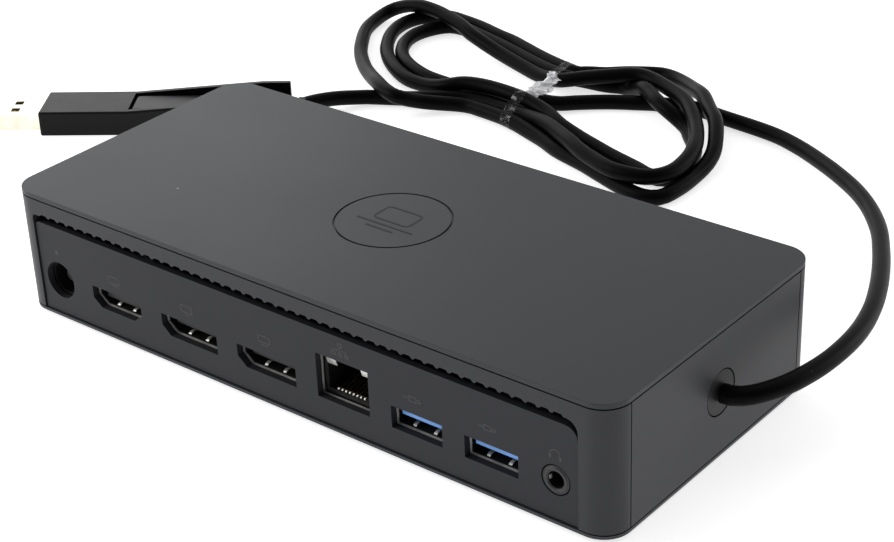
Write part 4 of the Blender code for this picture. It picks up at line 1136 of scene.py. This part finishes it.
class DOCKING_OT_contacts(bpy.types.Operator):
    """Puts the contacts and leaf springs in every socket, row by row"""

    bl_idname = "docking.contacts"
    bl_label = "Contacts and springs"

    def execute(self, context):
        settings = context.scene.docking_sockets
        pattern = spring_pattern()
        gold, plating = contact_gold(), shield_plating()
        sheet = settings.spring_thick
        leaves, wires = [], []
        for socket, pitch in LEAF_PITCHES.items():
            x, y, way = mouth(f"{socket}_shell")
            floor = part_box(f"{socket}_shell")[0].z + SHELL_WALL
            path = inward(y, way, floor, (0.0007, 0.0001), (0.0016, 0.0011), (0.0034, 0.0001))
            leaves.append(strips(pattern, x, 2, pitch, path, 0.0008, sheet, plating))
        for socket, (count, pitch) in TONGUE_ROWS.items():
            x, y, way = mouth(f"{socket}_tongue")
            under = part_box(f"{socket}_tongue")[0].z
            path = inward(y, way, under, (0.0007, 0.0), (0.0035, -0.0001), (0.0070, 0.0))
            wires.append(strips(pattern, x, count, pitch, path, pitch * 0.42, 0.00016, gold))

        x, y, way = mouth("lan_socket_insert")
        low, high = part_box("lan_socket_insert")
        shelf = low.z + 0.0010
        count, wide = settings.wire_count, settings.wire_width
        path = inward(y, way, shelf, (0.0008, 0.0003), (0.0052, 0.0005), (0.0098, 0.0044))
        wires.append(strips(pattern, x, count, WIRE_PITCH, path, wide, 0.00025, gold))
        path = inward(y, way, shelf, (0.0001, 0.0002), (0.0002, 0.0005), (0.0004, 0.0005))
        leaves.append(strips(pattern, x, count, WIRE_PITCH, path, wide * 0.8, 0.00025, plating))
        path = inward(y, way, high.z, (-0.0003, 0.0001), (-0.0006, -0.0012), (0.0001, -0.0029))
        leaves.append(strips(pattern, x, 2, 0.0094, path, 0.0026, sheet, plating))
        for node in SOUND_SOCKETS:
            x, y, way = mouth(node)
            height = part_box(node)[0].z + 0.0031
            path = inward(y, way, height, (0.0004, 0.0), (0.0007, 0.0), (0.0010, 0.0))
            leaves.append(strips(pattern, x - way * 0.0018, 1, 0.0, path, 0.0003, 0.0009, plating))

        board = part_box("main_board")[1].z
        for node in CHIPS:
            low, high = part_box(node)
            middle, half = (low.x + high.x) / 2, (high.z + low.z) / 2
            count = int((high.x - low.x - 0.001) / LEG_PITCH)
            for edge, out in ((low.y, -1), (high.y, 1)):
                path = [(edge - out * 0.0001, half), (edge + out * 0.0006, half),
                        (edge + out * 0.0009, board + 0.0001)]
                leaves.append(strips(pattern, middle, count, LEG_PITCH, path, 0.0003, 0.00012, plating))
        place_piece("socket_contacts", joined(wires), gold, DOCK, smooth=False)
        place_piece("shield_springs", joined(leaves), plating, DOCK, smooth=False)
        return {"FINISHED"}


class DOCKING_OT_marks(bpy.types.Operator):
    """Prints a plain sign over each port, and inlays one inside the top's ring"""

    bl_idname = "docking.marks"
    bl_label = "Marks"

    def execute(self, context):
        settings = context.scene.docking_marks

        def print_marks(cage):
            for draw, node, height, side in MARKS:
                low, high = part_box(node)
                face = (0.0, -side * PANEL_FACE, 0.0)
                ink = Print(cage, face, (side, 0, 0), (0, 0, 1), PRINT_THICK)
                draw(ink, side * (low.x + high.x) / 2, height, settings.line)

        def inlay(cage):
            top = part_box("top_cover")[1].z
            ink = Print(cage, (*EMBLEM_MIDDLE, top), (1, 0, 0), (0, 1, 0), PRINT_THICK)
            ink.frame(0.0, 0.0018, 0.0102, 0.0064, 0.00052)
            ink.bar(0.0, -0.0030, 0.0156, 0.00056)
            ink.bar(0.0, -0.0048, 0.0076, 0.00056)

        place_piece("port_marks", mesh_of(print_marks), printed_ink("mark_ink", settings.print_colour),
                    DOCK, smooth=False)
        place_piece("emblem_sign", mesh_of(inlay), printed_ink("emblem_ink", settings.emblem_colour),
                    DOCK, smooth=False)
        return {"FINISHED"}


class DOCKING_OT_adapter(bpy.types.Operator):
    """Finishes the plug adapter and the cord's plug, and adds the wide plug's contacts"""

    bl_idname = "docking.adapter"
    bl_label = "Adapter and plug"

    def execute(self, context):
        settings = context.scene.docking_adapter
        grain = (0.0003, 0.000008)
        dress(shiny_plastic("adapter_plastic", settings.case_colour, 0.36, *grain, 0.15), "adapter_body")
        dress(shiny_plastic("plug_plastic", settings.plug_colour, 0.40, *grain, 0.25), "usb_c_plug_body")
        pale = plated_metal("pale_plating", settings.shell_colour, 0.24, (6.0, 6.0, 1.0), 0.1)
        dress(pale, "adapter_a_shell")
        dress(plated_metal("plug_plating", (0.58, 0.57, 0.55), 0.28), "usb_c_plug_shell")
        dress(black_insert(), "adapter_a_tongue")
        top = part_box("adapter_a_tongue")[1].z
        path = [(-0.0100, top), (-0.0070, top + 0.0003), (-0.0030, top)]
        gold = contact_gold()
        mesh = strips(spring_pattern(), 0.0, 4, 0.0023, path, 0.0012, 0.00018, gold)
        mesh.transform(Matrix.Translation(PLUG_START) @ Matrix.Rotation(PLUG_ANGLE - math.pi / 2, 4, "Z"))
        place_piece("adapter_contacts", mesh, gold, ADAPTER, smooth=False)
        return {"FINISHED"}


class DOCKING_OT_screws(bpy.types.Operator):
    """Puts the four screws under the base"""

    bl_idname = "docking.screws"
    bl_label = "Screws"

    def execute(self, context):
        nodes = named_like("case_screw_")
        places = []
        for name in nodes:
            low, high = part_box(name)
            places.append(((low.x + high.x) / 2, (low.y + high.y) / 2, low.z))
        wide = (high.x - low.x) / 2
        base = bpy.data.meshes.new("screw_places")
        base.from_pydata(places, [], [])
        steel = plated_metal("screw_steel_finish", (0.16, 0.16, 0.17), 0.36)
        mesh = screw_pattern().grown({
            "Head": wide, "Crown": wide * 0.86, "Height": 0.0012, "Shank": 0.0012,
            "Length": high.z - low.z - 0.0012, "Slot": 0.0005, "Finish": steel,
        }, base)
        screws = place_piece("case_screws", mesh, steel, DOCK, smooth=False)
        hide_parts(*nodes)
        return {"FINISHED"}


class DOCKING_OT_inside(bpy.types.Operator):
    """Finishes what is inside: the board, its chips and coils, the spreader and the lead"""

    bl_idname = "docking.inside"
    bl_label = "Inside"

    def execute(self, context):
        cord = context.scene.docking_cord
        dress(circuit_board(), "main_board")
        dress(plated_metal("spreader_aluminium", (0.72, 0.73, 0.74), 0.40, (1.0, 8.0, 1.0)), "heat_spreader")
        dress(plated_metal("capacitor_sleeve", (0.62, 0.63, 0.66), 0.30), "capacitor")
        dress(shiny_plastic("chip_epoxy", (0.018, 0.018, 0.020), 0.50), *CHIPS)
        dress(soft_rubber("ferrite", (0.045, 0.045, 0.048), 0.60), *named_like("power_coil_"))
        dress(soft_rubber("lead_jacket", cord.jacket_colour, 0.5), "cord_inner_lead")
        return {"FINISHED"}


STEPS = (
    DOCKING_OT_stage, DOCKING_OT_cord, DOCKING_OT_tie, DOCKING_OT_case, DOCKING_OT_sockets,
    DOCKING_OT_contacts, DOCKING_OT_marks, DOCKING_OT_adapter, DOCKING_OT_screws, DOCKING_OT_inside,
)
SETTINGS = {
    "docking_case": CaseSettings, "docking_sockets": SocketSettings, "docking_cord": CordSettings,
    "docking_adapter": AdapterSettings, "docking_marks": MarkSettings, "docking_stage": StageSettings,
}


class DOCKING_PT_panel(bpy.types.Panel):
    """Lists the docking station's pieces and their sizes and colours"""

    bl_idname = "DOCKING_PT_panel"
    bl_label = "Docking station"
    bl_space_type = "VIEW_3D"
    bl_region_type = "UI"
    bl_category = "Docking station"

    def draw(self, context):
        for step in STEPS:
            self.layout.operator(step.bl_idname)
        for name, group in SETTINGS.items():
            box = self.layout.box()
            box.label(text=name.replace("docking_", "").title())
            for title in group.__annotations__:
                box.prop(getattr(context.scene, name), title)


def register():
    for group in (*SETTINGS.values(), *STEPS, DOCKING_PT_panel):
        bpy.utils.register_class(group)
    for name, group in SETTINGS.items():
        setattr(bpy.types.Scene, name, PointerProperty(type=group))


def unregister():
    for name in SETTINGS:
        delattr(bpy.types.Scene, name)
    for group in (DOCKING_PT_panel, *reversed(STEPS), *reversed(SETTINGS.values())):
        bpy.utils.unregister_class(group)


def main():
    register()
    for step in STEPS:
        group, name = step.bl_idname.split(".")
        getattr(getattr(bpy.ops, group), name)()


if __name__ == "__main__":
    main()
